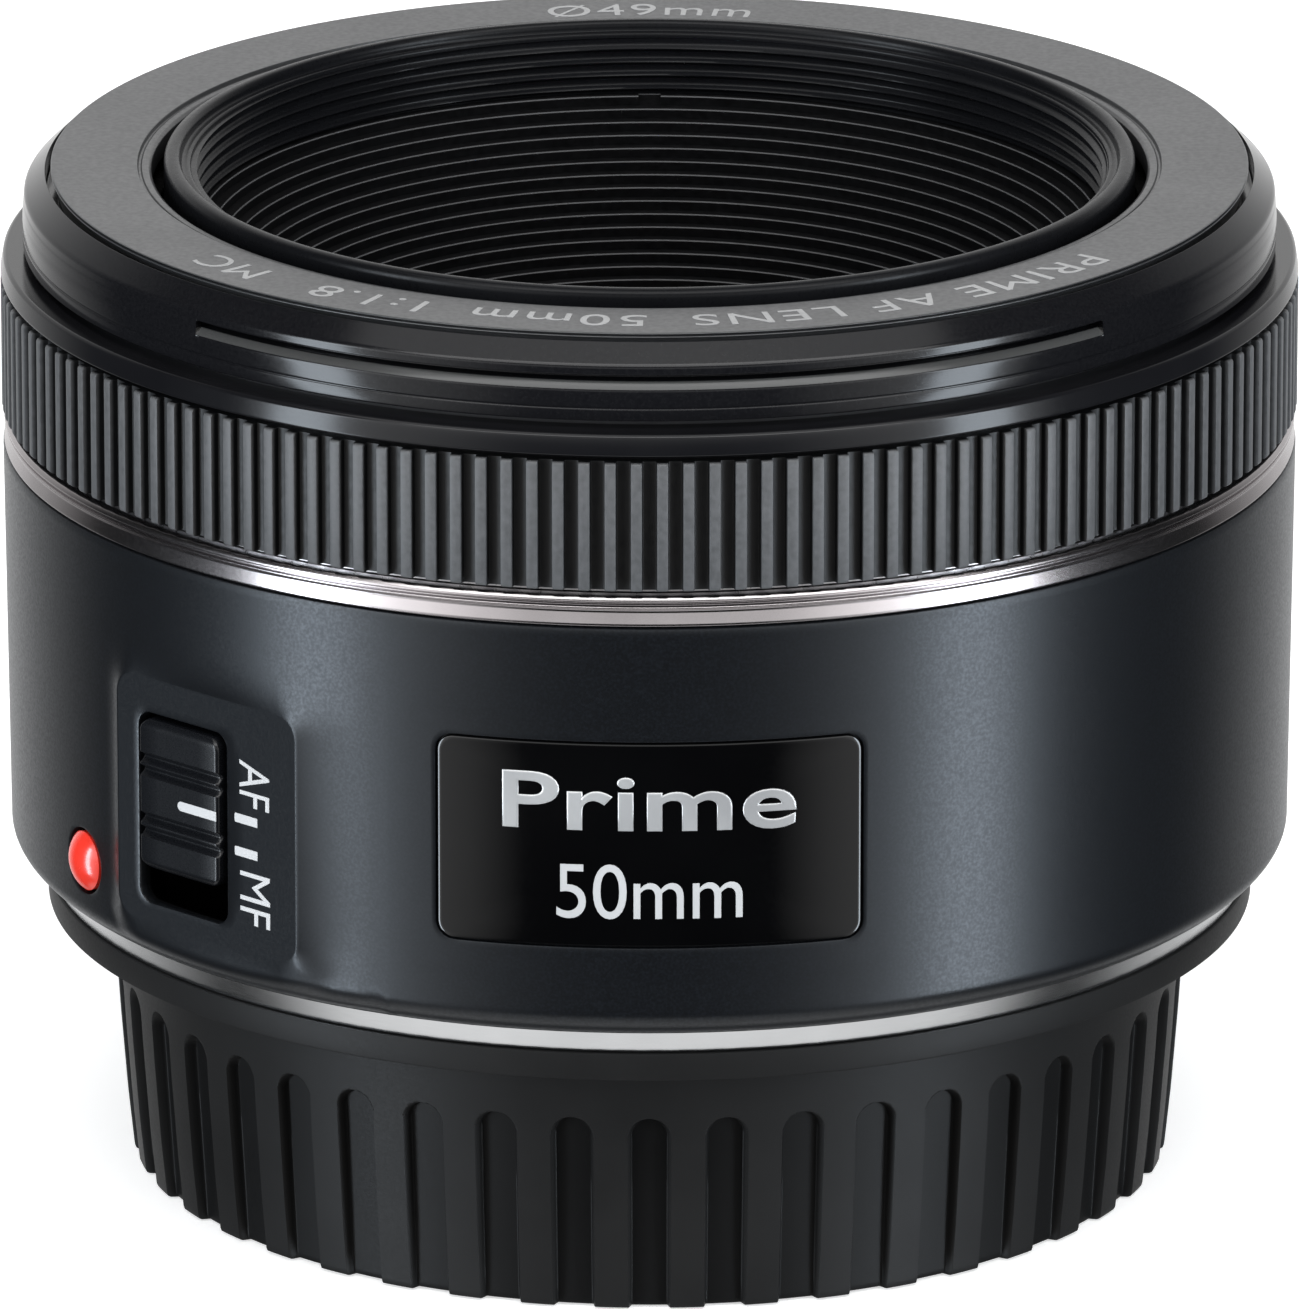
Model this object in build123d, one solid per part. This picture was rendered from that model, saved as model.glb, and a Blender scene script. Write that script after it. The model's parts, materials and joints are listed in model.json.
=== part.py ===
from build123d import *
import math
import os

# Autofocus prime camera lens with its rear cap on, standing on the cap.
# Every piece is drawn from the mount's flange plane (z = 0, light enters from +Z) and is raised
# by CAP_HEIGHT when it is written, so the written origin is the centre of the cap's bottom face.
# Angles named theta start at the side that carries the nameplate (-Y) and grow towards +X.

# Overall sizes, in mm
CAP_HEIGHT = 15.9            # cap bottom to flange plane
FRONT_Z = 39.53              # front rim of the inner barrel
FOCUS_TRAVEL = 10.0          # how far the inner barrel comes out at the closest focus
SWITCH_TRAVEL = 1.8
CAM_TURN = 75.0              # degrees the cam ring turns over the focus travel

# Inner barrel and the ring around it
BARREL_R = 25.85
FILTER_R = 24.09             # minor radius of the M49 x 0.75 filter thread
FILTER_DEPTH = 3.2
SHELL_IN_R = 24.5
SHOULDER_Z = 18.3
REAR_TUBE_OUT_R = 20.0
REAR_TUBE_IN_R = 18.6
REAR_TUBE_Z = 3.5
NAME_RING_IN_R = 26.9
NAME_RING_OUT_R = 31.85
NAME_RING_Z = 37.67

# Front bezel, which carries the hood bayonet
BEZEL_R = 33.4
BEZEL_SEAT_R = 32.0
BEZEL_FLOOR_Z = 37.65
BEZEL_UNDER_Z = 36.65
BEZEL_SKIRT_Z = 34.75
HOOD_SLOT_HALF = 45.8        # degrees

# Fixed sleeve that the focus ring turns on
SLEEVE_R = 32.3
SLEEVE_IN_R = 31.3
SLEEVE_BOTTOM_Z = 22.72
SLEEVE_TOP_Z = 36.6
SCREW_RING_R = 30.0

# Focus ring
FOCUS_TOP_Z = 34.33
FOCUS_BOTTOM_Z = 25.9
FOCUS_BORE_R = 32.4
FOCUS_WALL_R = 33.6
GRIP_R = 34.6
GRIP_TOP_Z = 32.84
GRIP_RIDGES = 160
GRIP_DEPTH = 0.5

# Main barrel
BODY_TOP_R = 34.55
BODY_TOP_Z = 23.9
BODY_LOW_R = 34.32
BODY_LOW_Z = 2.9
BODY_IN_R = 33.0
BODY_FOOT_R = 32.92
BODY_FOOT_Z = 1.26
TRIM_R = 34.5
TRIM_TOP_Z = 25.57

# Nameplate set into the front of the barrel
PLATE_HALF = 18.7            # degrees
PLATE_LOW_Z = 6.5
PLATE_HIGH_Z = 17.6
PLATE_R = 34.42
PLATE_BACK_R = 34.12

# Flat pad with the focus mode switch
PAD_THETA = -42.8
PAD_D = 34.16                # distance of the flat from the lens axis
PAD_LOW_Z = 3.75
PAD_HIGH_Z = 17.25
PAD_HALF = 6.5
FAIRING_DEPTH = 1.0          # how far the flat's sloping sides reach into the barrel
FAIRING_SPREAD = 1.8
SLOT_X = -1.72               # across the pad, from its middle
SLOT_WIDTH = 6.34
SLOT_LOW_Z = 4.8
SLOT_HIGH_Z = 15.3
SLIDER_WIDTH = 5.75
SLIDER_HEIGHT = 8.25
SLIDER_PROUD = 0.35
SLIDER_TOP_Z = 15.05
GROOVE_ZS = (12.9, 12.2, 9.6, 8.85)

# Red dome that lines the lens up with a camera
DOT_THETA = -60.6
DOT_Z = 5.3
DOT_R = 1.6
DOT_RISE = 0.7

# Lens mount and rear cap
MOUNT_EDGE_R = 32.25
MOUNT_TUBE_R = 25.5
MOUNT_TUBE_IN_R = 24.3
MOUNT_TUBE_Z = -6.2
MOUNT_LUG_R = 26.9
MOUNT_SCREW_R = 28.8
LUG_ANGLE = 50.0
CAP_FLANGE_R = 32.4
CAP_TOP_Z = -0.1
CAP_FLANGE_Z = -1.6
CAP_R = 29.0
CAP_LOW_R = 27.95
CAP_BORE_R = 27.3
CAP_FLOOR = 1.5
CAP_GROOVES = 44
CAP_GROOVE_WIDTH = 2.19
CAP_GROOVE_TOP_Z = -5.0
CAP_GROOVE_DEPTH = 0.5

# Focus drive: guide tube, cam ring and gears
BASE_Z = 1.3
BASE_TOP_Z = 2.3
GUIDE_IN_R = 20.08
GUIDE_OUT_R = 21.1
GUIDE_TOP_Z = 17.3
CAM_IN_R = 21.2
CAM_OUT_R = 23.2
CAM_BOTTOM_Z = 2.9
PIN_R = 1.2
PIN_CLEARANCE = 0.1
PIN_START_Z = 5.3
PIN_TIP_R = 22.4
CAM_GROOVE_R = 22.6
PIN_THETAS = (0, 120, 240)
MODULE = 0.4
CAM_TEETH = 120
IDLER_TEETH = 14
WHEEL_TEETH = 15
PINION_TEETH = 10
PRESSURE_ANGLE = math.radians(20)
LEVEL_A = (3.0, 4.2)         # cam gear and the last pinion
LEVEL_B = (4.5, 5.3)
LEVEL_C = (5.6, 6.4)
AXLE_R = 0.5
AXLE_BORE_R = 0.56
GEAR_TRAIN_ANGLE = 20.0      # polar angle of the last gear, from +X
GEAR_R = MODULE * (CAM_TEETH + IDLER_TEETH) / 2
GEAR_STEP = MODULE * (WHEEL_TEETH + PINION_TEETH) / 2
MOTOR_R = 3.0
MOTOR_AXIS_R = 27.7
MOTOR_Z = (7.4, 17.0)

# Optics: vertex positions and radii of curvature of the glass
FRONT_GLASS_R = 15.2
GLASS_2_R = 13.2
GLASS_3_R = 12.4
REAR_GLASS_R = 11.1
LAST_GLASS_R = 11.8
RIB_TOP_R = 23.87
RIB_TOP_Z = 35.58
RIB_STEP_R = 0.52
RIB_STEP_Z = 0.59
RIBS = 18

# Iris
BLADES = 7
BLADE_THICKNESS = 0.12
BLADE_PITCH = 0.2
BLADE_Z = 8.2
BLADE_IN_R = 11.5
BLADE_OUT_R = 14.2
BLADE_SPAN = 100.0
BLADE_PIVOT_R = 15.2
BLADE_LEVER = 2.2
BLADE_TURN = 25.0
IRIS_TURN = 30.0
IRIS_PIN_R = 0.35
IRIS_BASE_Z = (7.4, 8.1)
IRIS_RING_Z = (9.62, 10.15)


def revolved(outline, turn=360):
    """Solid from a closed (radius, z) outline turned about the lens axis."""
    face = Plane.XZ * make_face(Polyline(*outline, close=True))
    return revolve(face, Axis.Z, turn)


def tube(inner, outer, low, high, turn=360):
    """Plain ring between two radii and two heights."""
    return revolved([(inner, low), (outer, low), (outer, high), (inner, high)], turn)


def sector(inner, outer, low, high, theta, half):
    """Piece of a ring, centred on theta and reaching half degrees each side."""
    return Rot(0, 0, theta - 90 - half) * tube(inner, outer, low, high, 2 * half)


def around(shape, thetas):
    """One copy of a shape, drawn at theta 0, at each theta."""
    return [Rot(0, 0, theta) * shape for theta in thetas]


def rod(radius, low, high, at=(0, 0)):
    """Cylinder along Z between two heights."""
    return Pos(at[0], at[1], (low + high) / 2) * Cylinder(radius, high - low)


def radial_rod(radius, inner, outer, z):
    """Cylinder that points out of the lens axis at theta 0."""
    return Pos(0, -(inner + outer) / 2, z) * Rot(90, 0, 0) * Cylinder(radius, outer - inner)


def polar(radius, angle):
    """Point at a polar angle from +X, in degrees."""
    return radius * math.cos(math.radians(angle)), radius * math.sin(math.radians(angle))


def at_theta(radius, theta):
    """Point at an angle theta from the nameplate side."""
    return polar(radius, theta - 90)


def screw(head_r, head_height, shank_r, length, drive_r=0.55):
    """Flat-headed screw with a cross recess, its head's top at z = 0 and its shank below."""
    body = rod(head_r, -head_height, 0) + rod(shank_r, -head_height - length, -head_height)
    slot = Box(2 * drive_r, 0.28, 0.6)
    return body - slot - Rot(0, 0, 90) * slot


def sag(curvature_r, radius):
    """Depth of a spherical surface at a radius from its axis."""
    return abs(curvature_r) - math.sqrt(curvature_r ** 2 - radius ** 2)


def glass(radius, front, front_curve, back, back_curve, flat_r=None):
    """Lens element: vertices at front and back, a curve above 0 bulges towards the front."""
    flat_r = flat_r or radius
    front_edge = front - math.copysign(sag(front_curve, radius), front_curve)
    back_edge = back - math.copysign(sag(back_curve, flat_r), back_curve)
    front_mid = front - math.copysign(sag(front_curve, radius / 2), front_curve)
    back_mid = back - math.copysign(sag(back_curve, flat_r / 2), back_curve)
    lines = [
        Line((0, back), (0, front)),
        ThreePointArc((0, front), (radius / 2, front_mid), (radius, front_edge)),
        Line((radius, front_edge), (radius, back_edge)),
        ThreePointArc((flat_r, back_edge), (flat_r / 2, back_mid), (0, back)),
    ]
    if flat_r < radius:
        lines.append(Line((radius, back_edge), (flat_r, back_edge)))
    return revolve(Plane.XZ * make_face(lines), Axis.Z)


def pad_plane(depth=0.0, z=0.0):
    """Plane on the switch's flat, looking outwards, with x across it and y up."""
    x, y = at_theta(PAD_D - depth, PAD_THETA)
    normal = at_theta(1, PAD_THETA)
    across = at_theta(1, PAD_THETA + 90)
    return Plane(origin=(x, y, z), x_dir=(*across, 0), z_dir=(*normal, 0))


def pad_block(x, width, low, high, deep, proud, corner=0.0):
    """Block on the flat, from deep below it to proud above it."""
    outline = Pos(x, (low + high) / 2) * (
        RectangleRounded(width, high - low, corner) if corner else Rectangle(width, high - low)
    )
    return extrude(pad_plane(deep) * outline, deep + proud)


def involute(angle):
    return math.tan(angle) - angle


def gear(teeth, low, high, tooth_angle):
    """Spur gear with stub teeth, one tooth centred on tooth_angle (degrees from +X)."""
    pitch_r = MODULE * teeth / 2
    base_r = pitch_r * math.cos(PRESSURE_ANGLE)
    root_r = pitch_r - 1.1 * MODULE
    tip_r = pitch_r + 0.8 * MODULE
    pitch_half = (math.pi / 2 - 0.12) / teeth
    flank = []
    for radius in (root_r, pitch_r, tip_r):
        pressure = math.acos(min(1, base_r / radius))
        half = pitch_half + involute(PRESSURE_ANGLE) - involute(pressure)
        flank.append((radius, math.degrees(half)))
    points = []
    for i in range(teeth):
        middle = tooth_angle + 360 / teeth * i
        points += [polar(radius, middle - half) for radius, half in flank]
        points += [polar(radius, middle + half) for radius, half in reversed(flank)]
    return extrude(Plane.XY.offset(low) * make_face(Polyline(*points, close=True)), high - low)


# ---- Front ----

def front_bezel():
    """Gloss ring round the front, with the two hood slots and the seat of the name ring."""
    body = revolved([
        (27.6, BEZEL_UNDER_Z), (27.6, BEZEL_FLOOR_Z), (BEZEL_SEAT_R, BEZEL_FLOOR_Z),
        (BEZEL_SEAT_R, 38.6), (32.1, 38.73), (32.5, 38.6), (33.2, 38.05), (33.3, 37.9),
        (33.3, 37.65), (BEZEL_R, 36.4), (BEZEL_R, BEZEL_SKIRT_Z), (32.75, BEZEL_SKIRT_Z),
        (32.75, BEZEL_UNDER_Z),
    ])
    slot = revolved([
        (32.4, 37.2), (34.0, 37.2), (34.0, 36.4), (33.35, 36.4), (33.0, 36.75), (32.4, 36.75),
    ], 2 * HOOD_SLOT_HALF)
    for theta in (0, 180):
        body -= Rot(0, 0, theta - 90 - HOOD_SLOT_HALF) * slot
    for theta in (30, 150, 270):
        x, y = at_theta(SCREW_RING_R, theta)
        body -= rod(0.75, BEZEL_UNDER_Z - 1, BEZEL_FLOOR_Z + 1, (x, y))
        body -= rod(1.35, BEZEL_FLOOR_Z - 0.55, BEZEL_FLOOR_Z + 1, (x, y))
    return body


def bezel_screws():
    one = screw(1.25, 0.5, 0.65, 1.4)
    return [Pos(*at_theta(SCREW_RING_R, t), BEZEL_FLOOR_Z - 0.05) * one for t in (30, 150, 270)]


def name_ring():
    """Flat ring that faces forwards round the moving barrel."""
    return revolved([
        (NAME_RING_IN_R, NAME_RING_Z), (NAME_RING_IN_R, 38.87), (27.75, 38.85), (27.85, 39.0),
        (31.7, 39.05), (NAME_RING_OUT_R, 38.9), (NAME_RING_OUT_R, NAME_RING_Z),
    ])


def barrel_felt_ring():
    """Light seal in the front housing's bore, just clear of the moving barrel."""
    return tube(BARREL_R + 0.3, 27.55, 35.45, 36.55)


def front_housing():
    """Fixed sleeve between the barrel's ledge and the bezel."""
    body = revolved([
        (29.2, SLEEVE_BOTTOM_Z), (32.9, SLEEVE_BOTTOM_Z), (32.9, 23.8), (SLEEVE_R, 23.8),
        (SLEEVE_R, SLEEVE_TOP_Z), (27.6, SLEEVE_TOP_Z), (27.6, 35.4), (SLEEVE_IN_R, 35.4),
        (SLEEVE_IN_R, 23.8), (29.2, 23.8),
    ])
    for theta in (30, 150, 270):
        x, y = at_theta(SCREW_RING_R, theta)
        body -= rod(0.7, 35.0, SLEEVE_TOP_Z + 1, (x, y))
        body -= rod(0.7, SLEEVE_BOTTOM_Z - 1, 24.5, (x, y))
    return body - encoder_window()


def encoder_window():
    return Rot(0, 0, 60) * (Pos(0, -31.8, 27.4) * Box(3.4, 2.4, 2.2))


def housing_screws():
    one = screw(1.25, 0.6, 0.65, 2.0)
    return [Pos(*at_theta(SCREW_RING_R, t), 24.45) * one for t in (30, 150, 270)]


def encoder_sensor():
    """Sensor block that reads the strip inside the focus ring."""
    return Rot(0, 0, 60) * (Pos(0, -31.15, 27.4) * Box(3.2, 1.9, 2.0))


# ---- Focus ring ----

def focus_ring():
    """Smooth rim and inner wall of the focus ring, with its two running lands."""
    return revolved([
        (FOCUS_BORE_R, FOCUS_BOTTOM_Z), (FOCUS_WALL_R, FOCUS_BOTTOM_Z), (FOCUS_WALL_R, 33.2),
        (34.55, 33.2), (34.6, 33.3), (34.45, 34.2), (34.3, FOCUS_TOP_Z),
        (FOCUS_BORE_R, FOCUS_TOP_Z), (FOCUS_BORE_R, 33.4), (33.0, 33.4), (33.0, 26.5),
        (FOCUS_BORE_R, 26.5),
    ])


def focus_grip():
    """Ribbed band, with a valley centred on the nameplate side."""
    pitch = 360 / GRIP_RIDGES
    top = 0.2 * pitch
    foot = 0.3 * pitch
    points = []
    for i in range(GRIP_RIDGES):
        middle = -90 + pitch * (i + 0.5)
        points += [
            polar(GRIP_R - GRIP_DEPTH, middle - foot), polar(GRIP_R, middle - top),
            polar(GRIP_R, middle + top), polar(GRIP_R - GRIP_DEPTH, middle + foot),
        ]
    outline = make_face(Polyline(*points, close=True)) - Circle(FOCUS_WALL_R + 0.02)
    return extrude(Plane.XY.offset(FOCUS_BOTTOM_Z) * outline, GRIP_TOP_Z - FOCUS_BOTTOM_Z)


def encoder_strip():
    """Coded band bonded inside the focus ring."""
    body = tube(32.7, 32.98, 26.7, 28.1)
    bars = around(Pos(0, -32.98, 27.4) * Box(0.9, 0.4, 1.0), range(0, 360, 6))
    return body - bars


def friction_washer():
    """Thin washer under the focus ring that gives its drag."""
    return tube(32.45, 33.5, 25.62, 25.78)


# ---- Main barrel ----

def main_barrel():
    """Outer shell: tapered wall, foot, screw ledge, nameplate recess and switch pad."""
    body = revolved([
        (31.6, BODY_FOOT_Z), (BODY_FOOT_R, BODY_FOOT_Z), (33.35, 1.5), (33.9, 2.0),
        (34.2, 2.45), (BODY_LOW_R, BODY_LOW_Z), (BODY_TOP_R, BODY_TOP_Z), (BODY_IN_R, BODY_TOP_Z),
        (BODY_IN_R, 22.7), (29.2, 22.7), (29.2, 21.6), (BODY_IN_R, 21.6), (BODY_IN_R, 2.4),
        (31.6, 2.4),
    ])
    body += pad_block(0, 2 * PAD_HALF - 0.4, 2.8, PAD_HIGH_Z + 0.6, 2.9, -0.9)
    body += pad_fairing()
    body -= pad_block(0, 2 * PAD_HALF, PAD_LOW_Z, PAD_HIGH_Z, 0, 4, 1.2)
    body -= pad_block(SLOT_X, SLOT_WIDTH, SLOT_LOW_Z, SLOT_HIGH_Z, 5, 4, 0.8)
    margin = 0.1
    body -= sector(PLATE_BACK_R - 0.04, 36, PLATE_LOW_Z - margin, PLATE_HIGH_Z + margin, 0,
                   PLATE_HALF + math.degrees(margin / PLATE_R))
    body -= dot_place() * Cylinder(DOT_R + 0.2, 2)
    for theta in (30, 150, 270):
        body -= rod(0.7, 21, 23, at_theta(SCREW_RING_R, theta))
    return body


def pad_fairing():
    """Raised seat of the flat, whose sides slope down into the barrel."""
    spread = FAIRING_SPREAD
    foot_low = BODY_LOW_Z
    foot_high = PAD_HIGH_Z + spread
    foot = Pos(0, (foot_low + foot_high) / 2) * RectangleRounded(
        2 * (PAD_HALF + spread), foot_high - foot_low, 1.2 + spread)
    top = Pos(0, (PAD_LOW_Z + PAD_HIGH_Z) / 2) * RectangleRounded(
        2 * PAD_HALF, PAD_HIGH_Z - PAD_LOW_Z, 1.2)
    return loft([pad_plane(FAIRING_DEPTH) * foot, pad_plane() * top])


def dot_place():
    """Place of the index dome, with local z pointing out of the barrel."""
    x, y = at_theta(34.3, DOT_THETA)
    normal = at_theta(1, DOT_THETA)
    return Plane(origin=(x, y, DOT_Z), x_dir=(0, 0, 1), z_dir=(*normal, 0)).location


def mount_index_dot():
    """Domed marker, a slice of a sphere on a short round foot."""
    ball_r = (DOT_R ** 2 + DOT_RISE ** 2) / (2 * DOT_RISE)
    cap = Pos(0, 0, DOT_RISE - ball_r) * Sphere(ball_r) & Pos(0, 0, 1) * Box(9, 9, 2)
    foot = Pos(0, 0, -0.35) * Cylinder(DOT_R, 0.7)
    return dot_place() * (cap + foot)


def trim_ring():
    """Dark chrome band between the barrel and the focus ring: a bead over a waisted band."""
    return revolved([
        (33.1, 23.95), (34.45, 23.95), (34.5, 24.1), (34.42, 24.6), (TRIM_R, 25.0),
        (34.3, 25.08), (34.3, 25.2), (TRIM_R, 25.25), (TRIM_R, 25.5),
        (34.4, TRIM_TOP_Z), (33.1, TRIM_TOP_Z),
    ])


def nameplate():
    """Thin curved window with rounded corners, set into the barrel."""
    plate = sector(PLATE_BACK_R, PLATE_R, PLATE_LOW_Z, PLATE_HIGH_Z, 0, PLATE_HALF)
    corners = plate.edges().filter_by(lambda e: e.length < 0.5)
    return fillet(corners, 0.9)


# ---- Focus mode switch ----

def switch_slider():
    """Knob with four finger grooves round a plateau."""
    low = SLIDER_TOP_Z - SLIDER_HEIGHT
    body = pad_block(SLOT_X, SLIDER_WIDTH, low, SLIDER_TOP_Z, 1.6, SLIDER_PROUD, 0.7)
    for z in GROOVE_ZS:
        groove = pad_plane(-SLIDER_PROUD, z) * Rot(45, 0, 0) * Box(SLIDER_WIDTH + 2, 0.45, 0.45)
        body -= groove
    return body


def switch_board():
    """Small contact board behind the slot."""
    board = pad_block(SLOT_X, 9.5, 4.6, 15.8, 3.6, -3.0)
    for x in (-1.5, 0, 1.5):
        board += pad_block(SLOT_X + x, 0.6, 5.2, 14.6, 3.0, -2.9)
    return board


def switch_detent_spring():
    """Leaf spring with a raised middle that clicks the knob into its two places."""
    strip = [(-1.0, 0.0), (-1.0, 0.15), (2.2, 0.15), (3.2, 0.7), (4.2, 0.15), (8.0, 0.15),
             (8.0, 0.0), (4.35, 0.0), (3.2, 0.55), (2.05, 0.0)]
    profile = Plane(origin=pad_plane(2.7, 6.0).origin, x_dir=(0, 0, 1),
                    z_dir=(*at_theta(1, PAD_THETA + 90), 0))
    blade = extrude(profile * make_face(Polyline(*strip, close=True)), 0.6, both=True)
    shift = at_theta(SLOT_X, PAD_THETA + 90)
    return Pos(*shift, 0) * blade


# ---- Lens mount ----

def mount_ring():
    """Metal mount: flange with a conical edge, tube and three bayonet lugs."""
    body = revolved([
        (MOUNT_TUBE_IN_R, MOUNT_TUBE_Z), (MOUNT_TUBE_R, MOUNT_TUBE_Z), (MOUNT_TUBE_R, 0),
        (MOUNT_EDGE_R, 0), (BODY_FOOT_R, BODY_FOOT_Z - 0.02), (MOUNT_TUBE_IN_R, BODY_FOOT_Z - 0.02),
    ])
    for theta in (0, 120, 240):
        body += sector(MOUNT_TUBE_R - 0.2, MOUNT_LUG_R, -3.2, -1.8, theta, LUG_ANGLE / 2)
    for theta in (45, 135, 225, 315):
        x, y = at_theta(MOUNT_SCREW_R, theta)
        body -= rod(0.9, -1, 2, (x, y))
        body -= rod(1.75, -1, 0.62, (x, y))
    return body


def mount_screws():
    one = Rot(180, 0, 0) * screw(1.65, 0.55, 0.85, 3.0, 0.8)
    return [Pos(*at_theta(MOUNT_SCREW_R, t), 0.05) * one for t in (45, 135, 225, 315)]


def contact_block():
    """Insulating block with the row of electrical contacts, inside the mount tube."""
    body = sector(21.6, MOUNT_TUBE_IN_R - 0.05, -5.9, 0.9, 120, 32)
    for i in range(8):
        x, y = at_theta(22.9, 120 + 6.6 * (i - 3.5))
        body -= rod(0.66, -7, -1, (x, y))
    for theta in (91, 149):
        body -= rod(0.5, -7, 2, at_theta(22.9, theta))
    return body


def contact_pins():
    pin = rod(0.6, -6.1, -1.2) + Pos(0, 0, -6.1) * Sphere(0.6)
    return [Pos(*at_theta(22.9, 120 + 6.6 * (i - 3.5)), 0) * pin for i in range(8)]


def contact_block_screws():
    one = Rot(180, 0, 0) * screw(0.85, 0.5, 0.45, 6.2, 0.4)
    return [Pos(*at_theta(22.9, t), -6.45) * one for t in (91, 149)]


def rear_light_baffle():
    """Black plate with a rounded rectangular window behind the last element."""
    plate = Circle(21.4) - RectangleRounded(28, 22, 3)
    tabs = [Rot(0, 0, a) * (Pos(22.6, 0) * Rectangle(2.9, 5)) for a in (90, 210)]
    return extrude(Plane.XY.offset(-6.15) * (plate + tabs), 0.5)


# ---- Rear cap ----

def rear_cap():
    """Screw-on cup with a rim flange, finger grooves and three inner bayonet lugs."""
    floor_z = -CAP_HEIGHT + CAP_FLOOR
    body = revolved([
        (0, -CAP_HEIGHT), (CAP_LOW_R - 0.25, -CAP_HEIGHT), (CAP_LOW_R, -CAP_HEIGHT + 0.25),
        (28.25, -12.7), (28.6, -8.1), (CAP_R, CAP_FLANGE_Z), (CAP_FLANGE_R - 0.05, CAP_FLANGE_Z),
        (CAP_FLANGE_R, CAP_FLANGE_Z + 0.15), (CAP_FLANGE_R, CAP_TOP_Z - 0.15),
        (CAP_FLANGE_R - 0.1, CAP_TOP_Z), (CAP_BORE_R, CAP_TOP_Z), (CAP_BORE_R, -7),
        (26.2, -13), (25.8, floor_z), (0, floor_z),
    ])
    for theta in (0, 120, 240):
        body += sector(25.8, CAP_BORE_R + 0.3, -5.0, -3.6, theta, LUG_ANGLE / 2)
    half = CAP_GROOVE_WIDTH / 2
    length = CAP_GROOVE_TOP_Z + CAP_HEIGHT
    groove = Pos(0, 0, -CAP_HEIGHT + (length - half) / 2 - 0.5) * Box(2 * half, 4, length - half + 1)
    groove += Pos(0, 0, CAP_GROOVE_TOP_Z - half) * Rot(90, 0, 0) * Cylinder(half, 4)
    lean = math.degrees(math.atan2(CAP_R - 0.35 - CAP_LOW_R, length))
    middle = (CAP_GROOVE_TOP_Z - CAP_HEIGHT) / 2
    groove = Pos(0, 0, middle) * Rot(lean, 0, 0) * Pos(0, 0, -middle) * groove
    groove = Pos(0, -(28.3 - CAP_GROOVE_DEPTH + 2), 0) * groove
    return body - around(groove, [360 / CAP_GROOVES * i for i in range(CAP_GROOVES)])


# ---- Inner barrel and optics ----

def inner_barrel():
    """Moving barrel: filter thread at the front, wide shell, shoulder and narrow rear tube."""
    body = revolved([
        (REAR_TUBE_IN_R, REAR_TUBE_Z), (REAR_TUBE_OUT_R, REAR_TUBE_Z),
        (REAR_TUBE_OUT_R, SHOULDER_Z), (BARREL_R, SHOULDER_Z), (BARREL_R, 39.2), (25.7, 39.4),
        (25.4, FRONT_Z), (25.04, FRONT_Z), (FILTER_R, 38.9), (FILTER_R, 38.9 - FILTER_DEPTH),
        (SHELL_IN_R, 38.9 - FILTER_DEPTH), (SHELL_IN_R, 19.5), (REAR_TUBE_IN_R, 19.5),
    ])
    return body - around(radial_rod(0.8, 18, 21, PIN_START_Z), PIN_THETAS)


def cam_followers():
    """Rollers on short shafts, pressed into the rear tube."""
    one = radial_rod(0.78, REAR_TUBE_IN_R, 20.1, PIN_START_Z)
    one += radial_rod(PIN_R, 20.1, PIN_TIP_R, PIN_START_Z)
    return around(one, PIN_THETAS)


def baffle_cone():
    """Stepped light trap in front of the glass, which also holds the front element down."""
    steps = []
    for i in range(RIBS + 1):
        r = RIB_TOP_R - RIB_STEP_R * i
        z = RIB_TOP_Z - RIB_STEP_Z * i
        steps += [(r, z), (r, z - RIB_STEP_Z)]
    lip_r, lip_z = steps[-1]
    outline = steps + [
        (lip_r - 0.2, lip_z), (lip_r - 0.2, 21.85), (FRONT_GLASS_R, 21.85), (FRONT_GLASS_R, 23.6),
        (SHELL_IN_R - 0.05, 33.6), (SHELL_IN_R - 0.05, RIB_TOP_Z),
    ]
    return revolved(outline) - Pos(0, 23.9, RIB_TOP_Z) * Box(1.2, 1.0, 0.6)


def front_cell():
    """Cell of the three elements in front of the iris, on the barrel's shoulder."""
    return revolved([
        (11.2, 10.3), (16.6, 10.3), (16.6, 19.52), (24.4, 19.52), (24.4, 20.5), (16.6, 20.5),
        (16.6, 22.6), (15.25, 22.6), (15.25, 19.9), (13.25, 19.9), (13.25, 13.75),
        (12.45, 13.75), (12.45, 10.6), (11.2, 10.6),
    ])


def front_element():
    return glass(FRONT_GLASS_R, 24.6, 35, 21.0, 120)


def element_2():
    return glass(GLASS_2_R, 20.6, 20, 15.4, 60)


def element_3():
    return glass(GLASS_3_R, 15.36, 60, 14.3, 17, 10.5)


def front_spacer():
    """Ring that keeps the first two elements apart."""
    return revolved([(12.2, 16.7), (GLASS_2_R, 15.8), (GLASS_2_R, 19.85), (12.2, 19.85)])


def element_4():
    return glass(REAR_GLASS_R, 4.2, -25, 3.6, 60)


def element_5():
    return glass(REAR_GLASS_R, 3.57, 60, -1.4, -24)


def rear_element():
    return glass(LAST_GLASS_R, -1.7, 80, -5.1, -45)


def rear_cell():
    """Cell of the three elements behind the iris, hung from the iris base."""
    return revolved([
        (11.15, 7.38), (18.4, 7.38), (18.4, 6.4), (13.4, 6.4), (13.4, -5.3), (11.85, -5.3),
        (11.85, -2.4), (11.4, -2.4), (11.4, 0.2), (10.7, 0.2), (10.7, 0.85), (11.15, 0.85),
    ])


def rear_retainer():
    """Threaded ring behind the last element, with two spanner notches."""
    ring = tube(10.95, 11.82, -5.25, -3.95)
    notch = Pos(0, -11.4, -5.1) * Box(1.4, 2, 0.6)
    return ring - around(notch, (0, 180))


# ---- Iris ----

def iris_thetas():
    return [360 / BLADES * i for i in range(BLADES)]


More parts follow.
